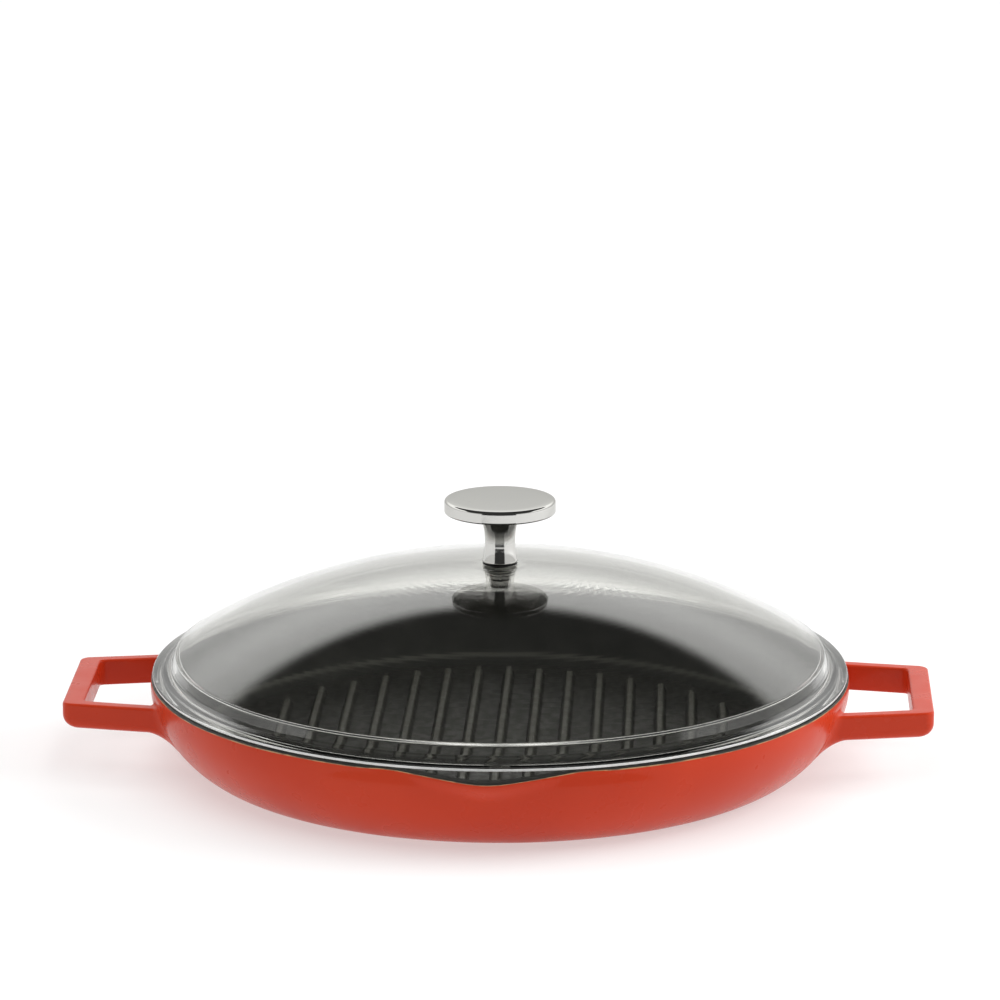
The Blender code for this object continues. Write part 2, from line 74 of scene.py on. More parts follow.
class Slot(Enum):
    """Material slots of the record."""

    RED_ENAMEL = "red_enamel"
    BLACK_ENAMEL = "black_enamel"
    CLEAR_GLASS = "clear_glass"
    POLISHED_STEEL = "polished_steel"
    PLAIN_STEEL = "plain_steel"
    BLACK_SILICONE = "black_silicone"
    CLEAR_SILICONE = "clear_silicone"


class Side(Enum):
    """Which end of the X axis a loop handle stands on."""

    RIGHT = 1
    LEFT = -1


class SteelGrain(Enum):
    """How the surface of a steel piece was finished."""

    POLISHED = "polished"
    TURNED = "turned"


# --- Mesh helpers ---------------------------------------------------------------------------------------


def smoothstep(value: np.ndarray | float) -> np.ndarray | float:
    """A soft ramp from 0 to 1, clamped outside that range."""
    clamped = np.clip(value, 0.0, 1.0)
    return clamped * clamped * (3 - 2 * clamped)


def as_profile(points: np.ndarray) -> Profile:
    """The rows of an array as a profile."""
    return [(float(r), float(z)) for r, z in points]


def arc(centre: Point, radius: float, start: float, end: float, segments: int) -> Profile:
    """Points on an arc in the profile's plane, both ends included.

    Args:
        centre: the arc's centre.
        radius: its radius.
        start: the first angle in degrees.
        end: the last angle in degrees.
        segments: the number of steps between them.

    Returns:
        The arc's points.
    """
    angles = np.radians(np.linspace(start, end, segments + 1))
    return [(centre[0] + radius * math.cos(a), centre[1] + radius * math.sin(a)) for a in angles]


def filleted(points: Profile, radii: dict[int, float], segments: int = 6) -> Profile:
    """Rounds chosen corners of a polyline.

    Args:
        points: the polyline.
        radii: the rounding radius of each corner to round, by its index.
        segments: steps along each rounding.

    Returns:
        The polyline with its corners rounded.
    """
    result: Profile = []
    for index, point in enumerate(points):
        if index not in radii:
            result.append(point)
            continue
        corner = np.array(point)
        back = np.array(points[index - 1]) - corner
        ahead = np.array(points[index + 1]) - corner
        shorter = min(float(np.linalg.norm(back)), float(np.linalg.norm(ahead)))
        back /= np.linalg.norm(back)
        ahead /= np.linalg.norm(ahead)
        half = math.acos(float(np.clip(back @ ahead, -1, 1))) / 2
        reach = min(radii[index] / math.tan(half), FILLET_SHARE * shorter)
        beyond = reach + min(FILLET_GUARD, GUARD_SHARE * shorter)
        share = np.linspace(0, 1, segments + 1)[:, None]
        curve = corner + (1 - share) ** 2 * reach * back + share**2 * reach * ahead
        result += as_profile(np.array([corner + back * beyond, *curve, corner + ahead * beyond]))
    return result


def resampled(points: Profile, spacing: float) -> np.ndarray:
    """The polyline with extra points so that no step is longer than the spacing.

    Args:
        points: the polyline, whose own points are kept.
        spacing: the longest step allowed.

    Returns:
        An array of points.
    """
    rows = [np.array(points[0])]
    for first, last in zip(points, points[1:]):
        gap = np.array(last) - np.array(first)
        count = max(1, math.ceil(float(np.linalg.norm(gap)) / spacing))
        rows.extend(np.array(first) + gap * k / count for k in range(1, count + 1))
    return np.array(rows)


def offset_right(points: Profile, distance: float) -> Profile:
    """Moves a polyline to the right of its direction, with mitred corners.

    Args:
        points: the polyline.
        distance: how far it moves.

    Returns:
        The moved polyline.
    """
    path = np.array(points)
    steps = np.diff(path, axis=0)
    headings = np.unwrap(np.arctan2(steps[:, 1], steps[:, 0]))
    before = np.concatenate([headings[:1], headings])
    after = np.concatenate([headings, headings[-1:]])
    middle = (before + after) / 2
    reach = distance / np.cos((after - before) / 2)
    return as_profile(path + np.stack([np.sin(middle), -np.cos(middle)], axis=1) * reach[:, None])


def round_angles(segments: int) -> np.ndarray:
    """Even angles round the Z axis, in radians."""
    return np.linspace(0, math.tau, segments, endpoint=False)


def ring_points(radius: np.ndarray | float, height: np.ndarray | float, angles: np.ndarray) -> np.ndarray:
    """Points at these radii, heights and angles about Z, which broadcast together."""
    radius, height, angles = np.broadcast_arrays(radius, height, angles)
    return np.stack([radius * np.cos(angles), radius * np.sin(angles), height], axis=-1)


def spun(profile: Profile | np.ndarray, segments: int) -> np.ndarray:
    """The rings of a profile turned about Z, as an array of rings by segments by 3."""
    path = np.asarray(profile, float)
    return ring_points(path[:, :1], path[:, 1:], round_angles(segments))


def make_object(name: str, points: np.ndarray, faces: Faces) -> Piece:
    """Makes a smooth-shaded mesh object.

    Args:
        name: its name.
        points: its points.
        faces: the indices of each face's points.

    Returns:
        The new object, linked to the scene.
    """
    mesh = bpy.data.meshes.new(name)
    mesh.from_pydata([tuple(p) for p in points], [], faces)
    mesh.validate()
    mesh.shade_smooth()
    mesh.update()
    piece = bpy.data.objects.new(name, mesh)
    bpy.context.scene.collection.objects.link(piece)
    return piece


def grid_faces(rows: int, columns: int, first: int = 0, close_rows: bool = False) -> Faces:
    """Quads between neighbouring rows of a grid whose columns close round.

    Args:
        rows: the number of rows of points.
        columns: the number of points in a row.
        first: the index of the grid's first point.
        close_rows: True where the last row meets the first one.

    Returns:
        The faces, facing out when rows run down the outer side and columns run anticlockwise.
    """
    faces = []
    for row in range(rows if close_rows else rows - 1):
        here = first + row * columns
        below = first + ((row + 1) % rows) * columns
        for column in range(columns):
            beside = (column + 1) % columns
            faces.append((here + column, below + column, below + beside, here + beside))
    return faces


class MeshBuilder:
    """Collects closed shells into one mesh."""

    def __init__(self) -> None:
        """Starts with no points."""
        self.points = np.zeros((0, 3))
        self.faces: Faces = []

    def add_points(self, points: np.ndarray) -> int:
        """Adds points and returns the index of the first."""
        self.points = np.concatenate([self.points, np.asarray(points, float).reshape(-1, 3)])
        return len(self.points) - np.size(points) // 3

    def add_shell(self, rings: np.ndarray, closed: bool = False) -> None:
        """Adds a closed shell through rings, turned to face out.

        Args:
            rings: an array of rings by points by 3.
            closed: True where the last ring meets the first, False where a fan of faces caps both.
        """
        count, segments = rings.shape[:2]
        first = self.add_points(rings)
        faces = grid_faces(count, segments, first, close_rows=closed)
        if not closed:
            top = self.add_points(rings[0].mean(axis=0))
            bottom = self.add_points(rings[-1].mean(axis=0))
            last = first + (count - 1) * segments
            for column in range(segments):
                beside = (column + 1) % segments
                faces.append((top, first + column, first + beside))
                faces.append((bottom, last + beside, last + column))
        if self.volume(faces) < 0:
            faces = [face[::-1] for face in faces]
        self.faces.extend(faces)

    def volume(self, faces: Faces) -> float:
        """Six times the volume that these faces enclose, negative where they face in."""
        halves = [face[:3] for face in faces] + [(f[0], f[2], f[3]) for f in faces if len(f) == 4]
        return float(np.linalg.det(self.points[np.array(halves)]).sum())

    def finish(self, name: str) -> Piece:
        """Makes the object."""
        return make_object(name, self.points, self.faces)


def turned_piece(name: str, profile: Profile | np.ndarray, segments: int, closed: bool = True) -> Piece:
    """Makes a smooth solid of revolution about Z.

    Args:
        name: the piece's name.
        profile: (radius, height) points down the outer side.
        segments: steps round the axis.
        closed: True for a ring-shaped piece whose profile closes on itself.

    Returns:
        The new object.
    """
    builder = MeshBuilder()
    builder.add_shell(spun(profile, segments), closed)
    return builder.finish(name)


def dress(piece: Piece, materials: list[Material], body: Body, slot: Slot, *nodes: str) -> Piece:
    """Gives a piece its finish and its place in the model.

    Args:
        piece: the finished mesh object.
        materials: its materials, in the order that its faces count them.
        body: the body that it rides on.
        slot: the record's slot that its finish belongs to; not used.
        nodes: the model's nodes that it stands for.

    Returns:
        The same object.
    """
    for material in materials:
        piece.data.materials.append(material)
    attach(piece, body.value)
    if nodes:
        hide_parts(*nodes)
    return piece


# --- Finishes -------------------------------------------------------------------------------------------


class NodeSet:
    """A node tree, and short ways to add nodes to it."""

    def __init__(self, tree: bpy.types.NodeTree, coordinates: str) -> None:
        """Starts with the coordinates that the patterns read."""
        self.tree = tree
        self.place = self.node("ShaderNodeTexCoord").outputs[coordinates]

    def node(self, kind: str, **settings: object) -> bpy.types.Node:
        """Adds a node and sets its properties."""
        made = self.tree.nodes.new(kind)
        for key, value in settings.items():
            setattr(made, key, value)
        return made

    def link(self, output: Socket, socket: Socket) -> None:
        """Joins two sockets."""
        self.tree.links.new(output, socket)

    def axis(self, name: str) -> Socket:
        """One of the coordinates: X, Y or Z."""
        split = self.node("ShaderNodeSeparateXYZ")
        self.link(self.place, split.inputs["Vector"])
        return split.outputs[name]

    def math(self, operation: str, first: Socket, second: Socket) -> Socket:
        """The sum, product or other result of two outputs."""
        made = self.node("ShaderNodeMath", operation=operation)
        self.link(first, made.inputs[0])
        self.link(second, made.inputs[1])
        return made.outputs[0]

    def noise(self, scale: float, detail: float = 3.0) -> Socket:
        """A noise pattern of this many features per metre, with octaves of finer noise."""
        texture = self.node("ShaderNodeTexNoise")
        texture.inputs["Scale"].default_value = scale
        texture.inputs["Detail"].default_value = detail
        self.link(self.place, texture.inputs["Vector"])
        return texture.outputs["Fac"]

    def ranged(self, value: Socket, low: float, high: float, to_low: float, to_high: float) -> Socket:
        """Maps a value from one range to another, smoothly and clamped.

        Args:
            value: the output to map.
            low: the value that becomes to_low.
            high: the value that becomes to_high.
            to_low: the result at low.
            to_high: the result at high.

        Returns:
            The mapped output.
        """
        ranger = self.node("ShaderNodeMapRange", interpolation_type="SMOOTHSTEP")
        numbers = {"From Min": low, "From Max": high, "To Min": to_low, "To Max": to_high}
        for name, number in numbers.items():
            ranger.inputs[name].default_value = number
        self.link(value, ranger.inputs["Value"])
        return ranger.outputs["Result"]

    def mixed(self, share: Socket, first: Colour | Socket, second: Colour | Socket) -> Socket:
        """Mixes two colours.

        Args:
            share: how much of the second shows, from 0 to 1.
            first: a colour or an output.
            second: a colour or an output.

        Returns:
            The colour output.
        """
        mix = self.node("ShaderNodeMix", data_type="RGBA")
        self.link(share, mix.inputs["Factor"])
        for socket, colour in ((mix.inputs[6], first), (mix.inputs[7], second)):
            if isinstance(colour, tuple):
                socket.default_value = (*colour, 1.0)
            else:
                self.link(colour, socket)
        return mix.outputs[2]


class FinishNodes(NodeSet):
    """The nodes of a new material, with its Principled shader."""

    def __init__(self, name: str) -> None:
        """Makes the material."""
        self.material = bpy.data.materials.new(name)
        self.material.use_nodes = True
        super().__init__(self.material.node_tree, "Object")
        self.shader = self.tree.nodes["Principled BSDF"]

    def fixed(self, **values: float | tuple[float, ...]) -> None:
        """Sets sockets of the shader, named with underscores for spaces."""
        for key, value in values.items():
            self.shader.inputs[key.replace("_", " ")].default_value = value

    def drive(self, name: str, output: Socket) -> None:
        """Links an output to a socket of the shader."""
        self.link(output, self.shader.inputs[name])

    def clouded(self, first: Colour, second: Colour, scale: float, detail: float, edge: float) -> Socket:
        """Mixes two colours in soft clouds.

        Args:
            first: the colour between the clouds.
            second: the clouds' colour.
            scale: clouds per metre.
            detail: octaves of finer noise.
            edge: how far from the pattern's ends the clouds' edges lie; near 0.5 they are sharp.

        Returns:
            The colour output.
        """
        return self.mixed(self.ranged(self.noise(scale, detail), edge, 1 - edge, 0.0, 1.0), first, second)

    def rough(self, scale: float, low: float, high: float) -> None:
        """Makes the roughness wander between two values."""
        self.drive("Roughness", self.ranged(self.noise(scale), 0.3, 0.7, low, high))

    def bump(self, value: Socket, depth: float, strength: float, under: Socket | None = None) -> Socket:
        """Adds a bump.

        Args:
            value: the height pattern, from 0 to 1.
            depth: the height of the pattern in metres.
            strength: how much of it shows.
            under: the normal of another bump below it, if any.

        Returns:
            The normal output.
        """
        bump = self.node("ShaderNodeBump")
        bump.inputs["Distance"].default_value = depth
        bump.inputs["Strength"].default_value = strength
        self.link(value, bump.inputs["Height"])
        if under is not None:
            self.link(under, bump.inputs["Normal"])
        return bump.outputs["Normal"]


@dataclass(frozen=True)
class GlossEnamel:
    """Thick gloss enamel fired on iron: a nearly even colour under a glassy coat."""

    colour: Colour = (0.545, 0.045, 0.014)
    thin_colour: Colour = (0.505, 0.039, 0.012)
    smooth: float = 0.25
    dull: float = 0.36

    def material(self) -> Material:
        """Builds the enamel."""
        nodes = FinishNodes("gloss_enamel")
        colour = nodes.clouded(self.colour, self.thin_colour, 14.0, 2.0, 0.35)
        speck = nodes.ranged(nodes.noise(900.0, 1.0), 0.76, 0.84, 0.0, 0.3)
        nodes.drive("Base Color", nodes.mixed(speck, colour, self.thin_colour))
        nodes.rough(60.0, self.smooth, self.dull)
        wavy = nodes.bump(nodes.noise(30.0, 0.0), 0.08 * MM, 0.16)
        nodes.drive("Coat Normal", wavy)
        nodes.drive("Normal", nodes.bump(nodes.noise(420.0, 2.0), 0.008 * MM, 0.3, wavy))
        nodes.fixed(Coat_Weight=0.16, Coat_Roughness=0.10, Coat_IOR=1.45, IOR=1.45, Specular_IOR_Level=0.13)
        return nodes.material


@dataclass(frozen=True)
class MattEnamel:
    """Matt black enamel with a fine grain, and a painted highlight that makes the tops of the ribs a little
    lighter.
    """

    colour: Colour = (0.0195, 0.0195, 0.0175)
    mottle: float = 1.45
    rib_highlight_colour: Colour = (0.080, 0.080, 0.071)
    rib_highlight_from: float = 6.6 * MM
    rib_highlight_full: float = 8.4 * MM
    rib_highlight_to: float = 9.5 * MM

    def material(self) -> Material:
        """Builds the black enamel."""
        nodes = FinishNodes("matt_enamel")
        # Painted highlight: a band over the rib tops, picked out by height, gets a lighter colour.
        rising = nodes.ranged(nodes.axis("Z"), self.rib_highlight_from, self.rib_highlight_full, 0.0, 1.0)
        falling = nodes.ranged(nodes.axis("Z"), self.rib_highlight_full, self.rib_highlight_to, 1.0, 0.0)
        lighter = tuple(self.mottle * c for c in self.colour)
        ground = nodes.clouded(self.colour, lighter, 70.0, 4.0, 0.3)
        crest = nodes.math("MULTIPLY", rising, falling)
        nodes.drive("Base Color", nodes.mixed(crest, ground, self.rib_highlight_colour))
        nodes.rough(220.0, 0.38, 0.56)
        grain = nodes.bump(nodes.noise(1400.0, 2.0), 0.05 * MM, 0.6)
        nodes.drive("Normal", nodes.bump(nodes.noise(120.0, 2.0), 0.12 * MM, 0.4, grain))
        nodes.fixed(IOR=1.5, Specular_IOR_Level=0.40)
        return nodes.material


@dataclass(frozen=True)
class PressedGlass:
    """Clear tempered glass with the faint waviness of pressing. Lamps shine straight through it."""

    tint: Colour = (0.745, 0.745, 0.72)
    shade_tint: Colour = (0.78, 0.78, 0.76)

    def material(self) -> Material:
        """Builds the glass."""
        nodes = FinishNodes("pressed_glass")
        nodes.fixed(Base_Color=(*self.tint, 1.0), Transmission_Weight=1.0, IOR=1.5)
        nodes.drive("Roughness", nodes.ranged(nodes.noise(38.0), 0.3, 0.75, 0.0, 0.045))
        wavy = nodes.bump(nodes.noise(22.0, 1.0), 0.18 * MM, 0.14)
        nodes.drive("Normal", nodes.bump(nodes.noise(90.0, 0.0), 0.02 * MM, 0.07, wavy))
        see_through = nodes.node("ShaderNodeBsdfTransparent")
        see_through.inputs["Color"].default_value = (*self.shade_tint, 1.0)
        ray = nodes.node("ShaderNodeLightPath").outputs
        mix = nodes.node("ShaderNodeMixShader")
        nodes.link(nodes.math("MAXIMUM", ray["Is Shadow Ray"], ray["Is Diffuse Ray"]), mix.inputs["Fac"])
        nodes.link(nodes.shader.outputs["BSDF"], mix.inputs[1])
        nodes.link(see_through.outputs["BSDF"], mix.inputs[2])
        nodes.link(mix.outputs["Shader"], nodes.tree.nodes["Material Output"].inputs["Surface"])
        return nodes.material


@dataclass(frozen=True)
class Steel:
    """Stainless steel, mirror-polished or left as turned, with fine rings from the lathe."""

    grain: SteelGrain
    colour: Colour = (0.595, 0.59, 0.57)
    smudge: float = 0.86
    grazing_tint: Colour = (0.80, 0.80, 0.79)

    def material(self) -> Material:
        """Builds the steel."""
        nodes = FinishNodes(f"{self.grain.value}_steel")
        polished = self.grain is SteelGrain.POLISHED
        low, high = (0.035, 0.11) if polished else (0.22, 0.38)
        smudge = nodes.noise(55.0, 4.0)
        nodes.drive("Roughness", nodes.ranged(smudge, 0.35, 0.75, low, high))
        darker = tuple(self.smudge * c for c in self.colour)
        dull = nodes.ranged(smudge, 0.55, 0.72, 0.0, 0.6)
        nodes.drive("Base Color", nodes.mixed(dull, self.colour, darker))
        rings = nodes.node("ShaderNodeTexWave", wave_type="RINGS", rings_direction="Z")
        for name, value in (("Scale", 900.0), ("Distortion", 2.0), ("Detail", 2.0)):
            rings.inputs[name].default_value = value
        nodes.link(nodes.place, rings.inputs["Vector"])
        lathe = nodes.bump(rings.outputs["Fac"], (0.0012 if polished else 0.01) * MM, 0.5)
        nodes.drive("Normal", nodes.bump(nodes.noise(160.0, 2.0), 0.012 * MM, 0.3, lathe))
        nodes.fixed(Metallic=1.0, Specular_Tint=(*self.grazing_tint, 1.0))
        return nodes.material


@dataclass(frozen=True)
class GrainedFinish:
    """A plain finish with a softly clouded colour and a fine grain."""

    name: str
    colour: Colour
    cloud_colour: Colour
    cloud_scale: float
    cloud_edge: float
    rough_scale: float
    roughness: tuple[float, float]
    grain_scale: float
    grain_depth: float
    ior: float = 1.5
    passes_light: float = 0.0

    def material(self) -> Material:
        """Builds the finish."""
        nodes = FinishNodes(self.name)
        cloud = nodes.clouded(self.colour, self.cloud_colour, self.cloud_scale, 3.0, self.cloud_edge)
        nodes.drive("Base Color", cloud)
        nodes.rough(self.rough_scale, *self.roughness)
        nodes.drive("Normal", nodes.bump(nodes.noise(self.grain_scale, 2.0), self.grain_depth, 0.5))
        nodes.fixed(IOR=self.ior, Transmission_Weight=self.passes_light)
        return nodes.material


def silicone(name: str, colour: Colour, passes_light: float) -> GrainedFinish:
    """Matt silicone with a fine moulded grain.

    Args:
        name: the finish's name.
        colour: its colour.
        passes_light: how milky it is: 0 where no light passes into it.

    Returns:
        The finish.
    """
    return GrainedFinish(
        name=name,
        colour=colour,
        cloud_colour=tuple(1.2 * c for c in colour),
        cloud_scale=300.0,
        cloud_edge=0.3,
        rough_scale=500.0,
        roughness=(0.45, 0.62),
        grain_scale=2500.0,
        grain_depth=0.03 * MM,
        ior=1.41,
        passes_light=passes_light,
    )


BLACK_SILICONE = silicone("black_silicone", (0.018, 0.018, 0.018), 0.0)
CLEAR_SILICONE = silicone("clear_silicone", (0.70, 0.70, 0.67), 0.4)

# The thin brown edge where the black enamel ends on the red.
BURNT_EDGE = GrainedFinish(
    name="burnt_edge",
    colour=(0.46, 0.27, 0.12),
    cloud_colour=(0.20, 0.11, 0.055),
    cloud_scale=180.0,
    cloud_edge=0.38,
    rough_scale=500.0,
    roughness=(0.35, 0.55),
    grain_scale=1500.0,
    grain_depth=0.03 * MM,
)

# The lid's outer edge, ground smooth but not polished, so that it looks frosted; its near-white colour is
# also a painted highlight along the edge.
GROUND_AND_HIGHLIGHT_EDGE = GrainedFinish(
    name="ground_and_highlight_glass_edge",
    colour=(0.95, 0.96, 0.95),
    cloud_colour=(0.836, 0.8448, 0.836),
    cloud_scale=90.0,
    cloud_edge=0.35,
    rough_scale=700.0,
    roughness=(0.35, 0.6),
    grain_scale=1800.0,
    grain_depth=0.02 * MM,
    passes_light=0.15,
)


@dataclass(frozen=True)
class StudioWhite:
    """The floor's even, matt off-white, lit a little from below so that shadows on it stay pale."""

    colour: Colour = (0.50, 0.50, 0.50)
    cloud_colour: Colour = (0.4925, 0.4925, 0.4925)
    glow: float = 0.5

    def material(self) -> Material:
        """Builds the floor's paint."""
        nodes = FinishNodes("studio_white")
        nodes.drive("Base Color", nodes.clouded(self.colour, self.cloud_colour, 3.0, 2.0, 0.3))
        nodes.fixed(Roughness=0.9, Specular_IOR_Level=0.15)
        nodes.fixed(Emission_Color=(1.0, 1.0, 1.0, 1.0), Emission_Strength=self.glow)
        return nodes.material


# --- Pan ------------------------------------------------------------------------------------------------


@dataclass(frozen=True)
class PanShape:
    """The form that the casting and its black lining share."""

    rim_radius: float = 150.0 * MM
    rim_edge_z: float = 36.5 * MM
    rim_crown: float = 0.8 * MM
    flare: float = 26.1 * MM
    bulge: float = 2.6 * MM
    bulge_drop: float = 15.8 * MM
    base_blend: float = 10.1 * MM
    wall: float = 4.6 * MM
    floor: float = 5.0 * MM
    spout_half_width: float = 38.0 * MM
    spout_out: float = 4.1 * MM
    spout_dip: float = 2.7 * MM
    spout_height: float = 13.0 * MM
    spout_softness: float = 0.32
    spout_power: float = 1.3
    spout_taper: float = 0.75
    segments: int = 480
    wall_steps: int = 48

    @property
    def rim_top_z(self) -> float:
        """The height of the flat rim."""
        return self.rim_edge_z + self.rim_crown

    @property
    def base_radius(self) -> float:
        """The radius of the flat base."""
        return self.rim_radius - self.flare

    def outer_wall(self, steps: int) -> Profile:
        """The outer wall from the rim's edge down to the base, one cubic curve with this many steps."""
        start = np.array((self.rim_radius, self.rim_edge_z))
        below_start = start + (self.bulge, -self.bulge_drop)
        beside_end = np.array((self.base_radius + self.base_blend, 0.0))
        end = np.array((self.base_radius, 0.0))
        share = np.linspace(0, 1, steps + 1)[:, None]
        left = 1 - share
        curve = left**3 * start + 3 * share * left**2 * below_start + 3 * share**2 * left * beside_end
        return as_profile(curve + share**3 * end)

    def inner_wall(self, sunk: float = 0.0) -> Profile:
        """The inner wall from the rim down to where the floor starts, this far inside the metal."""
        outer = np.array(self.outer_wall(self.wall_steps))
        tangents = np.gradient(outer, axis=0)
        tangents /= np.linalg.norm(tangents, axis=1)[:, None]
        normals = np.stack([tangents[:, 1], -tangents[:, 0]], axis=1)
        thickness = np.linspace(self.wall, self.floor, self.wall_steps + 1) - sunk
        inner = outer + normals * thickness[:, None]
        inner[-1] = (self.base_radius, self.floor - sunk)
        return as_profile(inner)

    def radius_at(self, height: np.ndarray | float) -> np.ndarray | float:
        """The outer wall's radius at a height, away from the spouts."""
        wall = np.array(self.outer_wall(2 * self.wall_steps))[::-1]
        return np.interp(height, wall[:, 1], wall[:, 0])

    def spout_bell(self, across: np.ndarray) -> np.ndarray:
        """How much of the spout shows this far from its middle: a V with a rounded tip, from 1 to 0."""
        soft = self.spout_softness
        share = np.clip(np.abs(across) / self.spout_half_width, 0, 1)
        slope = (np.hypot(share, soft) - soft) / (math.hypot(1, soft) - soft)
        return np.clip(1 - slope, 0, 1) ** self.spout_power

    def across(self, radius: np.ndarray | float, x: np.ndarray) -> np.ndarray:
        """The distance round the rim from the spout's middle, for points at this radius and x."""
        return self.rim_radius * np.arcsin(np.clip(np.abs(x) / radius, 0, 1))

    def with_spouts(self, points: np.ndarray) -> np.ndarray:
        """Pulls the upper wall out and the rim down at both ends of Y.

        Args:
            points: an array of points whose last axis is x, y and z.

        Returns:
            The moved points.
        """
        x, y, z = points[..., 0], points[..., 1], points[..., 2]
        radius = np.maximum(np.hypot(x, y), 1e-9)
        fade = smoothstep((z - self.rim_top_z + self.spout_height) / self.spout_height)
        reach = smoothstep(2 * radius / self.base_radius - 1)
        depth = np.clip((self.rim_edge_z - z) / self.spout_height, 0, 1)
        bell = self.spout_bell(self.across(radius, x) / (1 - self.spout_taper * depth))
        amount = fade * reach * bell
        grown = 1 + self.spout_out * amount / radius
        return np.stack([x * grown, y * grown, z - self.spout_dip * amount], axis=-1)

    def paint_line(self, angles: np.ndarray) -> np.ndarray:
        """How far below the rim's edge the black enamel ends at each angle, wandering a little."""
        wander = 0.08 * np.sin(7 * angles + 0.6) + 0.05 * np.sin(17 * angles + 2.1)
        share = self.across(1.0, np.cos(angles)) / self.spout_half_width
        shoulder = np.exp(-(((share - 1.12) / 0.20) ** 2))
        tip = np.exp(-((share / 0.30) ** 2))
        return MM * (0.25 + wander - 0.55 * shoulder + 0.6 * tip)


@dataclass(frozen=True)
class LoopHandle:
    """One square loop handle: a bar on two arms that flare where they meet the wall."""

    side: Side
    shape: PanShape
    reach: float = 35.5 * MM
    top_drop: float = 5.3 * MM
    height: float = 11.5 * MM
    root_half_width: float = 42.5 * MM
    tip_half_width: float = 36.0 * MM
    bar: float = 9.0 * MM
    arm: float = 6.2 * MM
    corner: float = 4.5 * MM
    hole_corner: float = 3.0 * MM
    edge_round: float = 1.1 * MM
    under_round: float = 6.0 * MM
    under_share: float = 0.66  # the most of the bar's width that the rounding underneath takes
    root_round_top: float = 2.0 * MM
    root_round_side: float = 3.5 * MM
    root_round_under: float = 8.0 * MM
    root_start: float = 4.0 * MM
    root_sink: float = 1.2 * MM
    root_steps: int = 10

    @property
    def taper(self) -> float:
        """How much the loop narrows for each metre outwards."""
        return (self.root_half_width - self.tip_half_width) / self.reach

    def outer_line(self, x: float) -> float:
        """The half-width of the loop's outside at x."""
        return self.root_half_width - self.taper * (x - self.shape.rim_radius)

    def inner_line(self, x: float) -> float:
        """The half-width of the loop's hole at x."""
        return self.outer_line(x) - self.arm

    def plan_corner(self, edge_x: float, side_line: Callable[[float], float], radius: float) -> Profile:
        """A corner of the plan, from the tapered side to the straight end.

        Args:
            edge_x: where the straight end lies.
            side_line: the half-width of the tapered side at x.
            radius: the corner's radius.

        Returns:
            The corner's (x, y) points.
        """
        turn = math.atan(self.taper)
        x = edge_x - radius
        centre = (x, side_line(x) - radius / math.cos(turn))
        return arc(centre, radius, 90 - math.degrees(turn), 0, 10)

    def plan(self) -> list[tuple[Point, Point]]:
        """Pairs of points on the hole's edge and the outer edge, from one root round to the other."""
        tip_x = self.shape.rim_radius + self.reach
        start = self.shape.rim_radius + self.root_start
        hole_x = tip_x - self.bar
        outer = self.plan_corner(tip_x, self.outer_line, self.corner)
        inner = self.plan_corner(hole_x, self.inner_line, self.hole_corner)
        pairs = []
        for share in np.linspace(0, 1, 12)[:-1]:
            far_out = start + (outer[0][0] - start) * share
            far_in = start + (inner[0][0] - start) * share
            pairs.append(((far_in, self.inner_line(far_in)), (far_out, self.outer_line(far_out))))
        pairs += zip(inner, outer)
        across = np.linspace(1, 0, 9)[1:]
        pairs += [((hole_x, inner[-1][1] * share), (tip_x, outer[-1][1] * share)) for share in across]
        return pairs + [((a[0], -a[1]), (b[0], -b[1])) for a, b in reversed(pairs[:-1])]

    def ring(self, inner: Point, outer: Point) -> np.ndarray:
        """The section between a point on the hole's edge and one on the outer edge.

        Args:
            inner: the hole's edge in plan.
            outer: the outer edge in plan.

        Returns:
            An array of points: over the top outwards, down the outside and back underneath.
        """
        width = math.dist(inner, outer)
        top = self.shape.rim_edge_z - self.top_drop
        low = top - self.height
        edge = self.edge_round
        under = min(self.under_round, self.under_share * width)
        path = arc((edge, top - edge), edge, 180, 90, 5)
        path += arc((width - edge, top - edge), edge, 90, 0, 5)
        path += arc((width - under, low + under), under, 0, -90, 10)
        path += arc((edge, low + edge), edge, -90, -180, 5)
        across, height = np.array(path).T
        plan = np.array(inner) + (np.array(outer) - inner) * (across / width)[:, None]
        return np.column_stack([plan, height])

    def root_rings(self, first: np.ndarray, second: np.ndarray) -> list[np.ndarray]:
        """Rings that flare from the arm onto the wall.

        Args:
            first: the arm's first straight ring.
            second: the next one, which gives the arm's direction.

        Returns:
            The rings, from one sunk in the wall outwards.
        """
        along = (second - first)[:, :2]
        slope = along[:, 1] / along[:, 0]
        tangent = (np.roll(first, -1, axis=0) - np.roll(first, 1, axis=0))[:, 1:]
        tangent /= np.linalg.norm(tangent, axis=1)[:, None]
        normal = np.stack([-tangent[:, 1], tangent[:, 0]], axis=1)
        normal *= np.sign(((first[:, 1:] - first[:, 1:].mean(axis=0)) * normal).sum())
        up = normal[:, 1]
        side = self.root_round_side
        rounding = side + (np.where(up > 0, self.root_round_top, self.root_round_under) - side) * up**2
        rings = []
        for share in (*np.linspace(0, 1, self.root_steps + 1) ** 1.3, 1.25):
            spread = rounding * (1 - math.sqrt(1 - (1 - share) ** 2)) if share < 1 else 0 * rounding
            ring = first.copy()
            for _ in range(3):
                ring[:, 1:] = first[:, 1:] + normal * spread[:, None]
                ring[:, 1] += slope * (ring[:, 0] - first[:, 0])
                radius = self.shape.radius_at(ring[:, 2])
                ring[:, 0] = np.sqrt(np.maximum(radius**2 - ring[:, 1] ** 2, 0)) + rounding * share
            rings.append(ring)
        return [rings[0] - (self.root_sink, 0.0, 0.0), *rings]

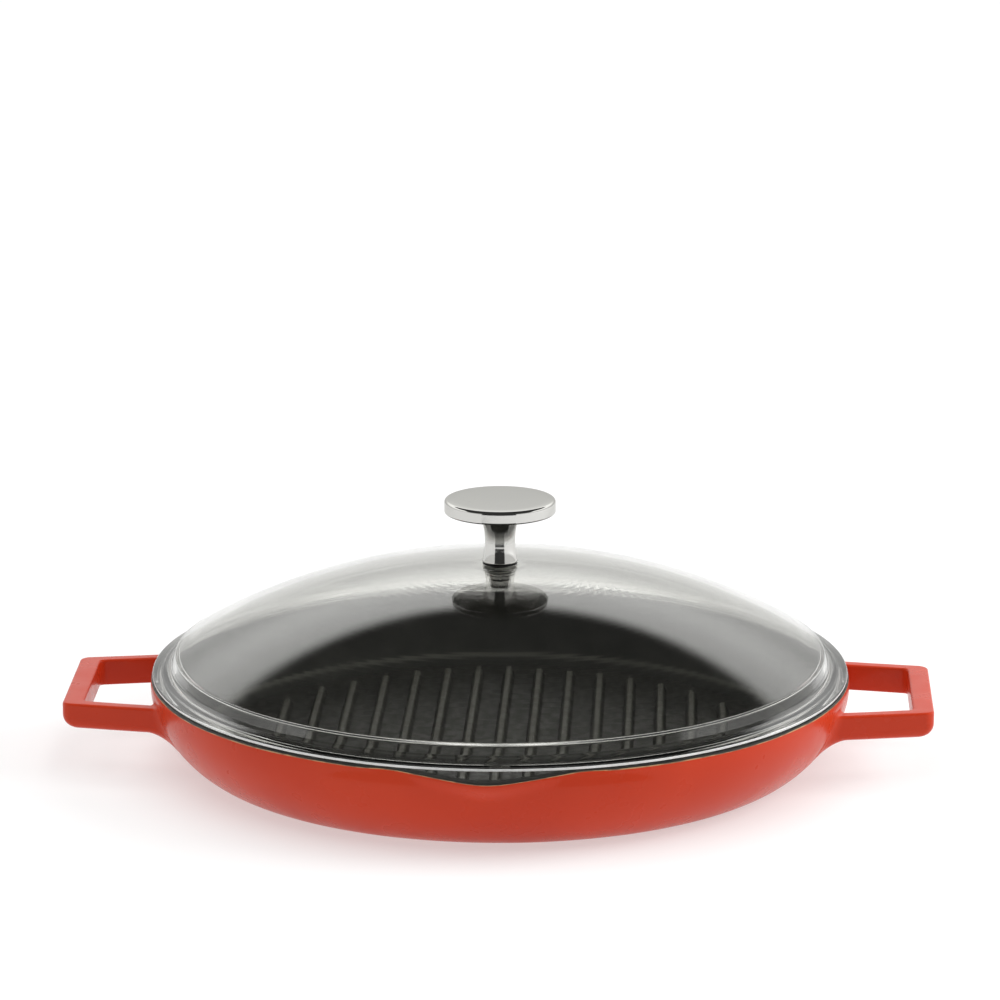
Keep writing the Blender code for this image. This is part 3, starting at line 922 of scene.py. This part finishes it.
    def sections(self) -> np.ndarray:
        """The loop's rings from one root round to the other, on this handle's side."""
        rings = [self.ring(a, b) for a, b in self.plan()]
        root = self.root_rings(rings[0], rings[1])
        clear = float(root[-1][:, 0].max()) + 0.4 * MM
        body = [ring for ring in rings if ring[:, 0].min() > clear]
        far_root = [ring * (1.0, -1.0, 1.0) for ring in reversed(root)]
        return np.array([*root, *body, *far_root]) * (self.side.value, 1.0, 1.0)


@dataclass(frozen=True)
class PanCasting:
    """The red outside of the pan: wall, base and two loop handles, cast in one."""

    shape: PanShape = field(default_factory=PanShape)
    skin_room: float = 0.40 * MM  # between the metal's inner face and the lining's surface
    edge_room: float = 0.10 * MM  # the same at the rim's outer edge, where the lining thins out
    edge_fade: float = 1.5 * MM
    rim_inset: float = 0.6 * MM
    foot_height: float = 0.6 * MM
    foot_width: float = 3.2 * MM
    outer_steps: int = 64

    def edge_inset(self, height: float) -> float:
        """How far the wall lies in at this height, to leave room for the lining's edge."""
        return float(self.edge_room * (1 - smoothstep((self.shape.rim_edge_z - height) / self.edge_fade)))

    def wall_rings(self) -> np.ndarray:
        """The body's rings: up the hidden inner face, over the rim, down the wall and across the base."""
        shape = self.shape
        inner = shape.inner_wall(self.skin_room)[::-1]
        rim = (inner[-1][0] + self.rim_inset, shape.rim_top_z - self.skin_room)
        corner = (shape.rim_radius - shape.rim_crown, shape.rim_edge_z)
        edge = arc(corner, shape.rim_crown - self.edge_room, 90, 0, 6)
        outer = [(r - self.edge_inset(z), z) for r, z in shape.outer_wall(self.outer_steps)]
        base = [(shape.base_radius - self.foot_width, 0.0)]
        base += [(shape.base_radius - 1.6 * self.foot_width, self.foot_height)]
        base += [(radius * MM, self.foot_height) for radius in (90, 60, 30, 1)]
        floor = [(radius * MM, shape.floor - self.skin_room) for radius in (1, 40, 80, 110)]
        return shape.with_spouts(spun([*floor, *inner, rim, *edge, *outer[1:], *base], shape.segments))

    def build(self) -> Pieces:
        """Makes the red casting."""
        builder = MeshBuilder()
        builder.add_shell(self.wall_rings())
        for side in Side:
            builder.add_shell(LoopHandle(side, self.shape).sections())
        piece = builder.finish("red_casting")
        return [dress(piece, [GlossEnamel().material()], Body.PAN, Slot.RED_ENAMEL, "pan_casting")]


@dataclass(frozen=True)
class PanLining:
    """The black inside of the pan: a skin over rim, wall and floor, with the grill ribs on it."""

    shape: PanShape = field(default_factory=PanShape)
    thickness: float = 0.28 * MM
    burnt_width: float = 0.46 * MM
    rim_inset: float = 1.0 * MM
    rib_pitch: float = 13.75 * MM
    rib_inset: float = 38.0 * MM
    rib_height: float = 3.4 * MM
    rib_top: float = 2.8 * MM
    rib_foot: float = 4.4 * MM
    rib_end: float = 4.0 * MM
    rib_root: float = 0.15 * MM
    rib_crown: float = 0.85 * MM

    def skin_rings(self) -> tuple[np.ndarray, int]:
        """The skin's rings, from the floor's centre out over the rim, under its edge and back beneath.

        Returns:
            The rings, and the index of the first ring of the burnt edge.
        """
        shape = self.shape
        inner = shape.inner_wall()[::-1]
        rim_inner = inner[-1][0]
        floor = [radius * MM for radius in (1, 30, 60, 90, 108)]
        crown = shape.rim_crown
        inner_edge = arc((rim_inner + crown, shape.rim_edge_z), crown, 180, 90, 5)
        top = [*[(radius, shape.floor) for radius in floor], *inner[:-1], *inner_edge]
        rings = [*spun(top, shape.segments)]
        angles = round_angles(shape.segments)
        drop = shape.paint_line(angles)
        ragged = self.burnt_width * (1 + 0.20 * np.sin(11 * angles + 1.0) + 0.12 * np.sin(31 * angles))
        highest = -crown * math.pi / 2
        reach = drop - ragged - highest
        rings += [self.edge_ring(highest + reach * share) for share in np.linspace(0, 1, 6)]
        start = len(rings)
        rings += [self.edge_ring(drop, -0.10 * MM), self.edge_ring(drop + 0.3 * MM, -0.35 * MM)]
        low = shape.rim_top_z - self.thickness
        under = [(shape.rim_radius - self.rim_inset, low), (rim_inner + self.rim_inset, low)]
        under += shape.inner_wall(self.thickness)
        under += [(radius, shape.floor - self.thickness) for radius in reversed(floor)]
        rings += [*spun(under, shape.segments)]
        return shape.with_spouts(np.array(rings)), start

    def edge_ring(self, below: np.ndarray, proud: float = 0.0) -> np.ndarray:
        """A ring on the rim's outer edge.

        Args:
            below: at each angle, how far down the surface from the rim's edge; negative is up the rounding.
            proud: how far it stands out of the surface.

        Returns:
            The ring's points.
        """
        shape = self.shape
        crown = shape.rim_crown
        turn = np.clip(-below / crown, 0, math.pi / 2)
        on_wall = shape.radius_at(shape.rim_edge_z - np.maximum(below, 0)) + proud
        on_round = shape.rim_radius - crown + (crown + proud) * np.cos(turn)
        up = np.where(below > 0, -below, (crown + proud) * np.sin(turn))
        radius = np.where(below > 0, on_wall, on_round)
        return ring_points(radius, shape.rim_edge_z + up, round_angles(shape.segments))

    def rib_section(self) -> np.ndarray:
        """A rib's section from foot over crest to foot: offsets from its middle and heights."""
        foot, crest, high = self.rib_foot / 2, self.rib_top / 2, self.rib_height
        flank = [(foot + 0.9 * MM, -self.rib_root), (foot + 0.35 * MM, 0.10 * MM)]
        flank += [(foot + 0.02 * MM, 0.5 * MM), (foot - 0.22 * MM, 1.1 * MM)]
        flank += [(foot - 0.45 * MM, 1.8 * MM), (crest + 0.12 * MM, high - 0.9 * MM)]
        crown = arc((crest - self.rib_crown, high - self.rib_crown), self.rib_crown, 15, 90, 5)
        half = np.array([*flank, *crown, (0.0, high)])
        return np.concatenate([half * (-1, 1), half[-2::-1]])

    def rib_rings(self, x: float, half_length: float) -> np.ndarray:
        """The rings of one rib, lofted along Y.

        Args:
            x: where it stands.
            half_length: half its length.

        Returns:
            An array of rings from its +Y end to its -Y end.
        """
        across, up = self.rib_section().T
        inwards = np.concatenate([np.linspace(0, 1, 9), [1.4, 2.0]]) * self.rib_end
        middle = np.linspace(half_length - inwards[-1], inwards[-1] - half_length, 9)[1:-1]
        along = np.concatenate([half_length - inwards, middle, inwards[::-1] - half_length])
        rings = []
        for y in along:
            rise = math.sin(min(1.0, (half_length - abs(y)) / self.rib_end) * math.pi / 2)
            height = np.where(up > 0, up * max(rise, 0.0) ** 1.2, up)
            wide = across * (0.55 + 0.45 * rise)
            rings.append(np.stack([x + wide, np.full(len(up), y), self.shape.floor + height], axis=1))
        return np.array(rings)

    def build(self) -> Pieces:
        """Makes the lining, its burnt edge in the second material."""
        builder = MeshBuilder()
        rings, start = self.skin_rings()
        builder.add_shell(rings)
        field_radius = self.shape.rim_radius - self.rib_inset
        most = int((field_radius - self.rib_pitch / 4) / self.rib_pitch)
        for index in range(-most, most + 1):
            x = index * self.rib_pitch
            builder.add_shell(self.rib_rings(x, math.sqrt(field_radius**2 - x**2)))
        piece = builder.finish("black_lining")
        segments = self.shape.segments
        for face in range((start - 1) * segments, (start + 1) * segments):
            piece.data.polygons[face].material_index = 1
        materials = [MattEnamel().material(), BURNT_EDGE.material()]
        return [dress(piece, materials, Body.PAN, Slot.BLACK_ENAMEL)]


# --- Lid ------------------------------------------------------------------------------------------------


@dataclass(frozen=True)
class GlassLid:
    """The pressed glass lid: a sloping flange, a step, and a shallow dome with a flat seat for the knob."""

    radius: float = 149.5 * MM
    under_z: float = 37.6 * MM
    thickness: float = 3.8 * MM
    edge_round: float = 1.1 * MM
    ground_highlight_from: float = math.radians(-40)
    ground_highlight_to: float = math.radians(25)
    flange: float = 7.3 * MM
    flange_flat: float = 1.0 * MM
    flange_slope: float = math.radians(18)
    step_rise: float = 5.6 * MM
    step_run: float = 2.7 * MM
    step_blend: float = 0.7 * MM
    dome_rise: float = 38.3 * MM
    seat: float = 11.0 * MM
    hole: float = 4.5 * MM
    hole_edge: float = 0.4 * MM
    lip_outer: float = 144.26 * MM
    lip_width: float = 3.2 * MM
    lip_depth: float = 1.4 * MM
    foot_round: float = 1.0 * MM
    under_round: float = 1.6 * MM
    segments: int = 480
    dome_steps: int = 44
    spacing: float = 1.5 * MM

    @property
    def top_z(self) -> float:
        """The height of the flange's top face where it starts."""
        return self.under_z + self.thickness

    @property
    def edge_centre(self) -> Point:
        """The centre of the rounding at the flange's upper edge."""
        run = self.flange - self.flange_flat - self.edge_round
        fall = run * math.tan(self.flange_slope)
        return (self.radius - self.edge_round, self.top_z - fall - self.edge_round)

    @property
    def foot(self) -> Point:
        """Where the dome meets the step."""
        return (self.radius - self.flange - self.step_run, self.top_z + self.step_rise)

    @property
    def dome_radius(self) -> float:
        """The radius of the dome's sphere."""
        return (self.foot[0] ** 2 + self.dome_rise**2) / (2 * self.dome_rise)

    @property
    def dome_centre_z(self) -> float:
        """The height of the sphere's centre."""
        return self.foot[1] + self.dome_rise - self.dome_radius

    @property
    def seat_z(self) -> float:
        """The height of the flat seat under the knob."""
        return self.dome_centre_z + math.sqrt(self.dome_radius**2 - self.seat**2)

    def dome(self, sunk: float) -> Profile:
        """The dome's arc from the seat out to its foot, this far inside the glass."""
        start, end = (math.asin(r / self.dome_radius) for r in (self.seat, self.foot[0]))
        angles = np.linspace(start, end, self.dome_steps + 1)
        radius = self.dome_radius - sunk
        return [(radius * math.sin(a), self.dome_centre_z + radius * math.cos(a)) for a in angles]

    def steep(self) -> Profile:
        """The step from the dome's foot down to the flange."""
        inner = self.radius - self.flange
        return [
            self.foot,
            (inner - self.step_blend, self.top_z + self.step_blend),
            (inner + self.flange_flat, self.top_z),
        ]

    def lip(self) -> Profile:
        """The locating lip under the flange, from its outer side to its inner side."""
        inner = self.lip_outer - self.lip_width
        soft = 0.45 * self.lip_depth
        low = self.under_z - self.lip_depth + soft
        points = [(self.lip_outer + 0.6 * MM, self.under_z), (self.lip_outer, self.under_z)]
        points += arc((self.lip_outer - 1.2 * soft, low), soft, 0, -90, 4)
        return [*points, *arc((inner + 1.2 * soft, low), soft, -90, -180, 4)]

    def profile(self) -> Profile:
        """The closed section: over the top, round the flange's edge, along the lip and back underneath."""
        edge = arc(self.edge_centre, self.edge_round, 90 - math.degrees(self.flange_slope), 0, 10)
        upper = [(self.hole + self.hole_edge, self.seat_z), *self.dome(0.0)[:-2], *self.steep(), edge[0]]
        foot = len(upper) - 4
        upper = filleted(upper, {foot: self.foot_round, foot + 1: 0.6 * self.foot_round, foot + 2: MM})
        low_centre = (self.edge_centre[0], self.under_z + self.edge_round)
        edge = edge[1:] + arc(low_centre, self.edge_round, 0, -90, 8)
        wall = offset_right([self.dome(0.0)[-2], *self.steep()], self.thickness)
        under = [(self.lip_outer - self.lip_width, self.under_z + 0.35 * MM), *wall[-2:0:-1]]
        under += self.dome(self.thickness)[::-1][3:]
        under = filleted(under, {1: self.under_round, 2: self.under_round})
        low = self.seat_z - self.thickness
        hole = [(self.hole + self.hole_edge, low), (self.hole, low + self.hole_edge)]
        return [*upper, *edge, *self.lip(), *under, *hole, (self.hole, self.seat_z - self.hole_edge)]

    def build(self) -> Pieces:
        """Makes the lid, its ground outer edge with the painted highlight in the second material."""
        piece = turned_piece("glass_lid", resampled(self.profile(), self.spacing), self.segments)
        centre = self.edge_centre
        for polygon in piece.data.polygons:
            out = math.hypot(polygon.center.x, polygon.center.y) - centre[0]
            turn = math.atan2(polygon.center.z - centre[1], out)
            # The band of the edge rounding that carries the ground finish and the painted highlight.
            if out > 0 and self.ground_highlight_from < turn < self.ground_highlight_to:
                polygon.material_index = 1
        materials = [PressedGlass().material(), GROUND_AND_HIGHLIGHT_EDGE.material()]
        return [dress(piece, materials, Body.LID, Slot.CLEAR_GLASS, "lid_glass")]


# --- Knob and fastening ---------------------------------------------------------------------------------


@dataclass(frozen=True)
class Knob:
    """The steel knob: a flat disc on a waisted stem."""

    seat_z: float
    gap: float = 0.3 * MM
    seal: float = 0.5 * MM
    disc_radius: float = 23.9 * MM
    disc_thickness: float = 5.8 * MM
    top_edge: float = 1.3 * MM
    under_edge: float = 0.7 * MM
    flat_guard: float = 0.15 * MM  # keeps the disc's side flat beside its rounded edges
    crown: float = 0.12 * MM
    spigot_radius: float = 5.0 * MM
    spigot_length: float = 3.0 * MM
    spigot_edge: float = 0.3 * MM
    bore: float = 2.8 * MM
    stem_length: float = 21.6 * MM
    stem_edge: float = 0.35 * MM
    top_radius: float = 8.75 * MM
    waist_radius: float = 6.5 * MM
    base_radius: float = 7.75 * MM
    waist_share: float = 0.38
    skin: float = 2.2 * MM
    segments: int = 192

    @property
    def stem_z(self) -> float:
        """The height of the stem's base."""
        return self.seat_z + self.seal + 2 * self.gap

    @property
    def disc_z(self) -> float:
        """The height of the disc's underside."""
        return self.stem_z + self.stem_length + self.gap

    @property
    def hole_top_z(self) -> float:
        """The height where the blind screw hole ends."""
        return self.disc_z + self.disc_thickness - self.skin

    def stem_radius(self, share: float) -> float:
        """The stem's radius at this share of its height."""
        waist = self.waist_share
        end = self.top_radius if share > waist else self.base_radius
        flare = (share - waist) / (1 - waist) if share > waist else 1 - share / waist
        return self.waist_radius + (end - self.waist_radius) * flare**2

    def disc(self) -> Piece:
        """The disc, with its spigot and blind screw hole."""
        rim, edge = self.disc_radius, self.spigot_edge
        top_z = self.disc_z + self.disc_thickness
        crown = [(rim * share, top_z - self.crown * share**2) for share in (0.02, 0.2, 0.4, 0.6, 0.8)]
        top = arc((rim - self.top_edge, top_z - self.crown - self.top_edge), self.top_edge, 90, 0, 8)
        under = arc((rim - self.under_edge, self.disc_z + self.under_edge), self.under_edge, 0, -90, 6)
        side = [(rim, top[-1][1] - self.flat_guard), (rim, under[0][1] + self.flat_guard)]
        low = self.disc_z - self.spigot_length
        spigot = [(self.spigot_radius + edge, self.disc_z), (self.spigot_radius, self.disc_z - edge)]
        spigot += [(self.spigot_radius, low + edge), (self.spigot_radius - edge, low)]
        hole = [(self.bore + edge, low), (self.bore, low + edge), (self.bore, self.hole_top_z)]
        profile = [*crown, *top, *side, *under, *spigot, *hole, (edge, self.hole_top_z)]
        return turned_piece("knob_top", profile, self.segments, closed=False)

    def stem(self) -> Piece:
        """The stem, bored for the screw."""
        edge, base = self.stem_edge, self.stem_z
        top_z = base + self.stem_length
        near = 1.2 * edge / self.stem_length
        outer = [(self.stem_radius(s), base + self.stem_length * s) for s in np.linspace(1 - near, near, 41)]
        socket_radius = self.spigot_radius + self.gap
        socket_z = self.disc_z - self.spigot_length - self.gap
        start = [(socket_radius + edge, top_z), (self.stem_radius(1.0) - edge, top_z)]
        end = [(self.stem_radius(0.0) - edge, base), (self.bore + edge, base), (self.bore, base + edge)]
        bore = [(self.bore, socket_z), (socket_radius, socket_z), (socket_radius, top_z - edge)]
        return turned_piece("knob_spool", [*start, *outer, *end, *bore], self.segments)

    def build(self) -> Pieces:
        """Makes both pieces of the knob."""
        steel = [Steel(SteelGrain.POLISHED).material()]
        return [
            dress(self.disc(), steel, Body.LID, Slot.POLISHED_STEEL, "knob_disc"),
            dress(self.stem(), steel, Body.LID, Slot.POLISHED_STEEL, "knob_stem"),
        ]


@dataclass(frozen=True)
class Fastening:
    """What holds the knob: a screw from below, two washers, a grommet in the glass and a seal above it."""

    knob: Knob
    glass: float = 3.8 * MM
    collar: float = 4.2 * MM
    collar_edge: float = 0.35 * MM
    flange: float = 7.0 * MM
    washer: float = 1.2 * MM
    cup_radius: float = 6.4 * MM
    cup_edge: float = 0.3 * MM
    lock_radius: float = 4.5 * MM
    lock_edge: float = 0.18 * MM
    lock_split: float = 0.8 * MM
    lock_slant: float = math.radians(20)
    seal_radius: float = 7.5 * MM
    seal_edge: float = 0.25 * MM
    screw_radius: float = 2.5 * MM
    thread_pitch: float = 0.8 * MM
    thread_depth: float = 0.40 * MM
    point_length: float = 1.2 * MM
    head_radius: float = 4.75 * MM
    head_height: float = 3.2 * MM
    head_edge: float = 0.3 * MM
    head_round: float = 1.1 * MM
    recess_span: float = 5.0 * MM
    recess_width: float = 1.2 * MM
    recess_depth: float = 1.7 * MM
    tip_clearance: float = 1.5 * MM
    segments: int = 96

    def under_z(self, rings: int) -> float:
        """The height of the underside of the grommet, cup washer or lock washer: 1, 2 or 3 rings down."""
        return self.knob.seat_z - self.glass - rings * (self.knob.gap + self.washer)

    def ring(self, name: str, outer: float, low: float, thickness: float, edge: float) -> Piece:
        """A washer with rounded edges.

        Args:
            name: the piece's name.
            outer: its outer radius.
            low: the height of its underside.
            thickness: its thickness.
            edge: the radius of its edges.

        Returns:
            The new object.
        """
        high, bore = low + thickness, self.knob.bore
        profile = arc((outer - edge, high - edge), edge, 90, 0, 5)
        profile += arc((outer - edge, low + edge), edge, 0, -90, 5)
        profile += arc((bore + edge, low + edge), edge, -90, -180, 4)
        profile += arc((bore + edge, high - edge), edge, 180, 90, 4)
        return turned_piece(name, profile, self.segments)

    def grommet(self) -> Piece:
        """The silicone collar in the lid's hole."""
        top, low = self.knob.seat_z - self.knob.gap, self.under_z(1)
        edge, bore, flange_top = self.collar_edge, self.knob.bore, low + self.washer
        profile = [(bore, top - edge), (bore + edge, top), (self.collar - edge, top)]
        profile += [(self.collar, top - edge), (self.collar, flange_top)]
        profile += arc((self.flange - edge, flange_top - edge), edge, 90, 0, 4)
        profile += arc((self.flange - edge, low + edge), edge, 0, -90, 4)
        profile += [(bore + edge, low), (bore, low + edge)]
        return turned_piece("hole_grommet", profile, self.segments)

    def lock_washer(self) -> Piece:
        """The split spring washer: a square-section ring with one slanted gap."""
        middle = (self.knob.bore + self.lock_radius) / 2
        half, high = self.lock_radius - middle, self.washer
        box = [(-half, 0), (-half, high), (half, high), (half, 0), (-half, 0), (-half, high)]
        corners = filleted(box, dict.fromkeys(range(1, 5), self.lock_edge), 3)[1:-1]
        across, up = np.array(corners[::-1]).T
        opening = self.lock_split / middle
        slant = math.tan(self.lock_slant) * (up - high / 2) / middle
        turns = np.linspace(opening / 2, math.tau - opening / 2, self.segments)
        builder = MeshBuilder()
        builder.add_shell(ring_points(middle + across, self.under_z(3) + up, turns[:, None] - slant))
        piece = builder.finish("split_lock_washer")
        piece.data.set_sharp_from_angle(angle=math.radians(50))
        return piece

    def screw(self) -> Piece:
        """The pan-head screw, with a rolled thread and a cross recess."""
        head_top = self.under_z(3) - self.knob.gap
        head_z = head_top - self.head_height
        top_z = self.knob.hole_top_z - self.tip_clearance
        edge, rounding = self.head_edge, self.head_round
        angles = round_angles(self.segments)
        steps = int((top_z - head_top) / (self.thread_pitch / 8))
        heights = np.linspace(top_z, head_top + edge, steps)[:, None]
        groove = np.abs(2 * ((heights / self.thread_pitch + angles / math.tau) % 1.0) - 1)
        taper = np.minimum(1.0, (top_z - heights) / self.point_length + 0.35)
        shank = ring_points((self.screw_radius - self.thread_depth * groove) * taper, heights, angles)
        head = [(self.screw_radius, head_top)]
        head += arc((self.head_radius - edge, head_top - edge), edge, 90, 0, 4)
        head += arc((self.head_radius - rounding, head_z + rounding), rounding, 0, -90, 8)
        head += [(edge, head_z)]
        point = spun([(edge, top_z)], self.segments)
        builder = MeshBuilder()
        builder.add_shell(np.concatenate([point, shank, spun(head, self.segments)]))
        piece = builder.finish("knob_fixing_screw")
        for turn in (0.0, math.pi / 2):
            self.cut_slot(piece, head_z, turn)
        piece.data.set_sharp_from_angle(angle=math.radians(40))
        return piece

    def cut_slot(self, piece: Piece, low: float, turn: float) -> None:
        """Cuts one tapered slot of the cross recess.

        Args:
            piece: the screw.
            low: the height of the head's face.
            turn: the slot's angle about Z.
        """
        corners = np.array([(1, 1, 0), (-1, 1, 0), (-1, -1, 0), (1, -1, 0)])
        half = np.array([self.recess_span, self.recess_width, 0.0]) / 2
        levels = ((self.recess_depth, 0.62), (0.0, 1.0), (-0.5 * MM, 1.0))
        builder = MeshBuilder()
        builder.add_shell(np.array([corners * half * share + (0, 0, low + up) for up, share in levels]))
        cutter = builder.finish("slot_cutter")
        cutter.rotation_euler = (0, 0, turn)
        bpy.context.view_layer.update()
        cut = piece.modifiers.new("slot", "BOOLEAN")
        cut.operation = "DIFFERENCE"
        cut.solver = "EXACT"
        cut.object = cutter
        graph = bpy.context.evaluated_depsgraph_get()
        piece.data = bpy.data.meshes.new_from_object(piece.evaluated_get(graph))
        piece.modifiers.clear()
        bpy.data.objects.remove(cutter, do_unlink=True)

    def build(self) -> Pieces:
        """Makes the seal, the grommet, both washers and the screw."""
        knob = self.knob
        black, clear = [BLACK_SILICONE.material()], [CLEAR_SILICONE.material()]
        steel = [Steel(SteelGrain.TURNED).material()]
        seal = self.ring("knob_seal", self.seal_radius, knob.seat_z + knob.gap, knob.seal, self.seal_edge)
        grommet = self.grommet()
        cup = self.ring("cup_washer", self.cup_radius, self.under_z(2), self.washer, self.cup_edge)
        return [
            dress(seal, black, Body.LID, Slot.BLACK_SILICONE, "upper_seal_washer"),
            dress(grommet, clear, Body.LID, Slot.CLEAR_SILICONE, "lid_hole_grommet"),
            dress(cup, steel, Body.LID, Slot.PLAIN_STEEL, "screw_cup_washer"),
            dress(self.lock_washer(), steel, Body.LID, Slot.PLAIN_STEEL, "spring_lock_washer"),
            dress(self.screw(), steel, Body.LID, Slot.PLAIN_STEEL, "knob_screw"),
        ]


# --- Studio ---------------------------------------------------------------------------------------------


@dataclass(frozen=True)
class Studio:
    """A white floor, a white surround with a dark ceiling, soft lamps, dark mirror sheets and the camera."""

    floor_rings: tuple[float, ...] = (0.25, 0.6, 1.5, 4.0, 9.0)
    floor_segments: int = 96
    floor_drop: float = 0.05 * MM
    camera_place: Place = (0.0838, -2.1815, 0.666)
    camera_turn: Place = (math.radians(90 - 14.209), 0.0, math.radians(2.2))
    focal_length: float = 189.68
    surround_low: float = 0.83
    surround_high: float = 1.6
    surround_tint: Colour = (1.0, 1.0, 0.985)
    front_drop: float = 0.33
    ceiling: float = 0.03
    brighter_from: float = math.radians(12)
    brighter_to: float = math.radians(27)
    surround_top: float = math.radians(34)
    ceiling_start: float = math.radians(39)
    sky_strength: float = 2.15
    sky_spread: float = math.radians(80)
    softbox_place: Place = (1.5, 0.1, 0.9)
    softbox_target: Place = (0.35, 0.0, 0.0)
    softbox_power: float = 16.0
    near_mat: Point = (0.20, 0.42)  # its near and far radius
    far_mat: Point = (0.51, 1.0)
    mat_height: float = 1.0 * MM
    mat_half_angle: float = 35.0
    card: tuple[Point, ...] = ((0.72, 0.0), (0.90, 0.55))  # half-width and height of its lower and upper edge
    card_places: tuple[float, float] = (-1.0, -1.35)

    def build(self) -> None:
        """Makes everything round the pan."""
        self.add_floor()
        self.add_surround()
        overhead = self.add_lamp("overhead", "SUN", self.sky_strength)
        overhead.data.angle = self.sky_spread
        softbox = self.add_lamp("right_softbox", "AREA", self.softbox_power)
        softbox.data.size = 1.0
        softbox.location = self.softbox_place
        aim = Vector(self.softbox_target) - softbox.location
        softbox.rotation_euler = aim.to_track_quat("-Z", "Y").to_euler()
        self.add_flags()
        self.add_camera()
        self.set_view()

    def set_view(self) -> None:
        """Sets the plain view and how far light is followed through the glass."""
        settings = bpy.context.scene.view_settings
        settings.view_transform = "Standard"
        settings.look = "None"
        cycles = bpy.context.scene.cycles
        cycles.use_denoising = True
        cycles.max_bounces = 20
        cycles.transmission_bounces = 20
        cycles.transparent_max_bounces = 24
        cycles.glossy_bounces = 8
        cycles.caustics_refractive = False
        cycles.caustics_reflective = False

    def add_floor(self) -> None:
        """Lays a round floor under the pan."""
        radii = np.array(self.floor_rings)[:, None]
        rings = ring_points(radii, -self.floor_drop, round_angles(self.floor_segments))
        centre = np.array([[0.0, 0.0, -self.floor_drop]])
        count = self.floor_segments
        faces = [(0, 1 + k, 1 + (k + 1) % count) for k in range(count)]
        faces += grid_faces(len(rings), count, first=1)
        floor = make_object("studio_floor", np.concatenate([centre, rings.reshape(-1, 3)]), faces)
        floor.data.materials.append(StudioWhite().material())

    def add_surround(self) -> None:
        """Lights the room: white up to a height, which is lower behind the camera, and dark above it."""
        world = bpy.data.worlds.new("surround")
        world.use_nodes = True
        bpy.context.scene.world = world
        nodes = NodeSet(world.node_tree, "Generated")
        towards_camera = nodes.ranged(nodes.axis("Y"), 0.0, -0.5, 0.0, self.front_drop)
        height = nodes.math("ADD", nodes.axis("Z"), towards_camera)
        top, dark_from = math.sin(self.surround_top), math.sin(self.ceiling_start)
        dimming = nodes.ranged(height, top, dark_from, 1.0, self.ceiling)
        low, high = math.sin(self.brighter_from), math.sin(self.brighter_to)
        brightness = nodes.ranged(nodes.axis("Z"), low, high, self.surround_low, self.surround_high)
        background = nodes.tree.nodes["Background"]
        background.inputs["Color"].default_value = (*self.surround_tint, 1.0)
        nodes.link(nodes.math("MULTIPLY", dimming, brightness), background.inputs["Strength"])

    @staticmethod
    def add_lamp(name: str, kind: str, power: float) -> Piece:
        """Adds a lamp that mirrors and glass don't show.

        Args:
            name: the lamp's name.
            kind: SUN or AREA.
            power: its strength in the lamp's own unit.

        Returns:
            The lamp's object, pointing down.
        """
        lamp = bpy.data.lights.new(name, kind)
        lamp.energy = power
        holder = bpy.data.objects.new(name, lamp)
        holder.visible_glossy = False
        holder.visible_transmission = False
        bpy.context.scene.collection.objects.link(holder)
        return holder

    def add_flags(self) -> None:
        """Adds dark sheets in front, which only mirrors show: they give the steel stem its dark stripe."""
        (low_half, low_z), (high_half, high_z) = self.card
        near_y, far_y = self.card_places
        card = [(-low_half, near_y, low_z), (low_half, near_y, low_z), (high_half, far_y, high_z)]
        self.add_flag("dark_card", np.array([*card, (-high_half, far_y, high_z)]))
        fan = np.radians(np.linspace(-self.mat_half_angle, self.mat_half_angle, 13) - 90)
        for name, (near, far) in (("near_mat", self.near_mat), ("far_mat", self.far_mat)):
            edges = [ring_points(far, self.mat_height, fan), ring_points(near, self.mat_height, fan[::-1])]
            self.add_flag(name, np.concatenate(edges))

    @staticmethod
    def add_flag(name: str, corners: np.ndarray) -> None:
        """Adds one flat sheet.

        Args:
            name: its name.
            corners: its outline.
        """
        flag = make_object(name, corners, [tuple(range(len(corners)))])
        nodes = FinishNodes(name)
        nodes.drive("Base Color", nodes.mixed(nodes.noise(4.0), (0.03, 0.03, 0.03), (0.04, 0.04, 0.04)))
        nodes.fixed(Roughness=0.9, Specular_IOR_Level=0.0)
        flag.data.materials.append(nodes.material)
        flag.visible_camera = False
        flag.visible_diffuse = False
        flag.visible_transmission = False
        flag.visible_shadow = False

    def add_camera(self) -> None:
        """Places the camera."""
        lens = bpy.data.cameras.new("camera")
        lens.sensor_width = 36.0
        lens.lens = self.focal_length
        lens.clip_end = 50.0
        camera = bpy.data.objects.new("camera", lens)
        camera.location = self.camera_place
        camera.rotation_euler = Euler(self.camera_turn)
        bpy.context.scene.collection.objects.link(camera)
        bpy.context.scene.camera = camera


def main() -> None:
    """Builds the pan, its lid, the knob with its fastening and the studio, and reports each piece."""
    logging.basicConfig(level=logging.INFO, format="%(name)s: %(message)s")
    lid = GlassLid()
    knob = Knob(lid.seat_z)
    for part in (PanCasting(), PanLining(), lid, knob, Fastening(knob)):
        for piece in part.build():
            LOG.info("%s: %d faces", piece.name, len(piece.data.polygons))
    Studio().build()


if __name__ == "__main__":
    main()
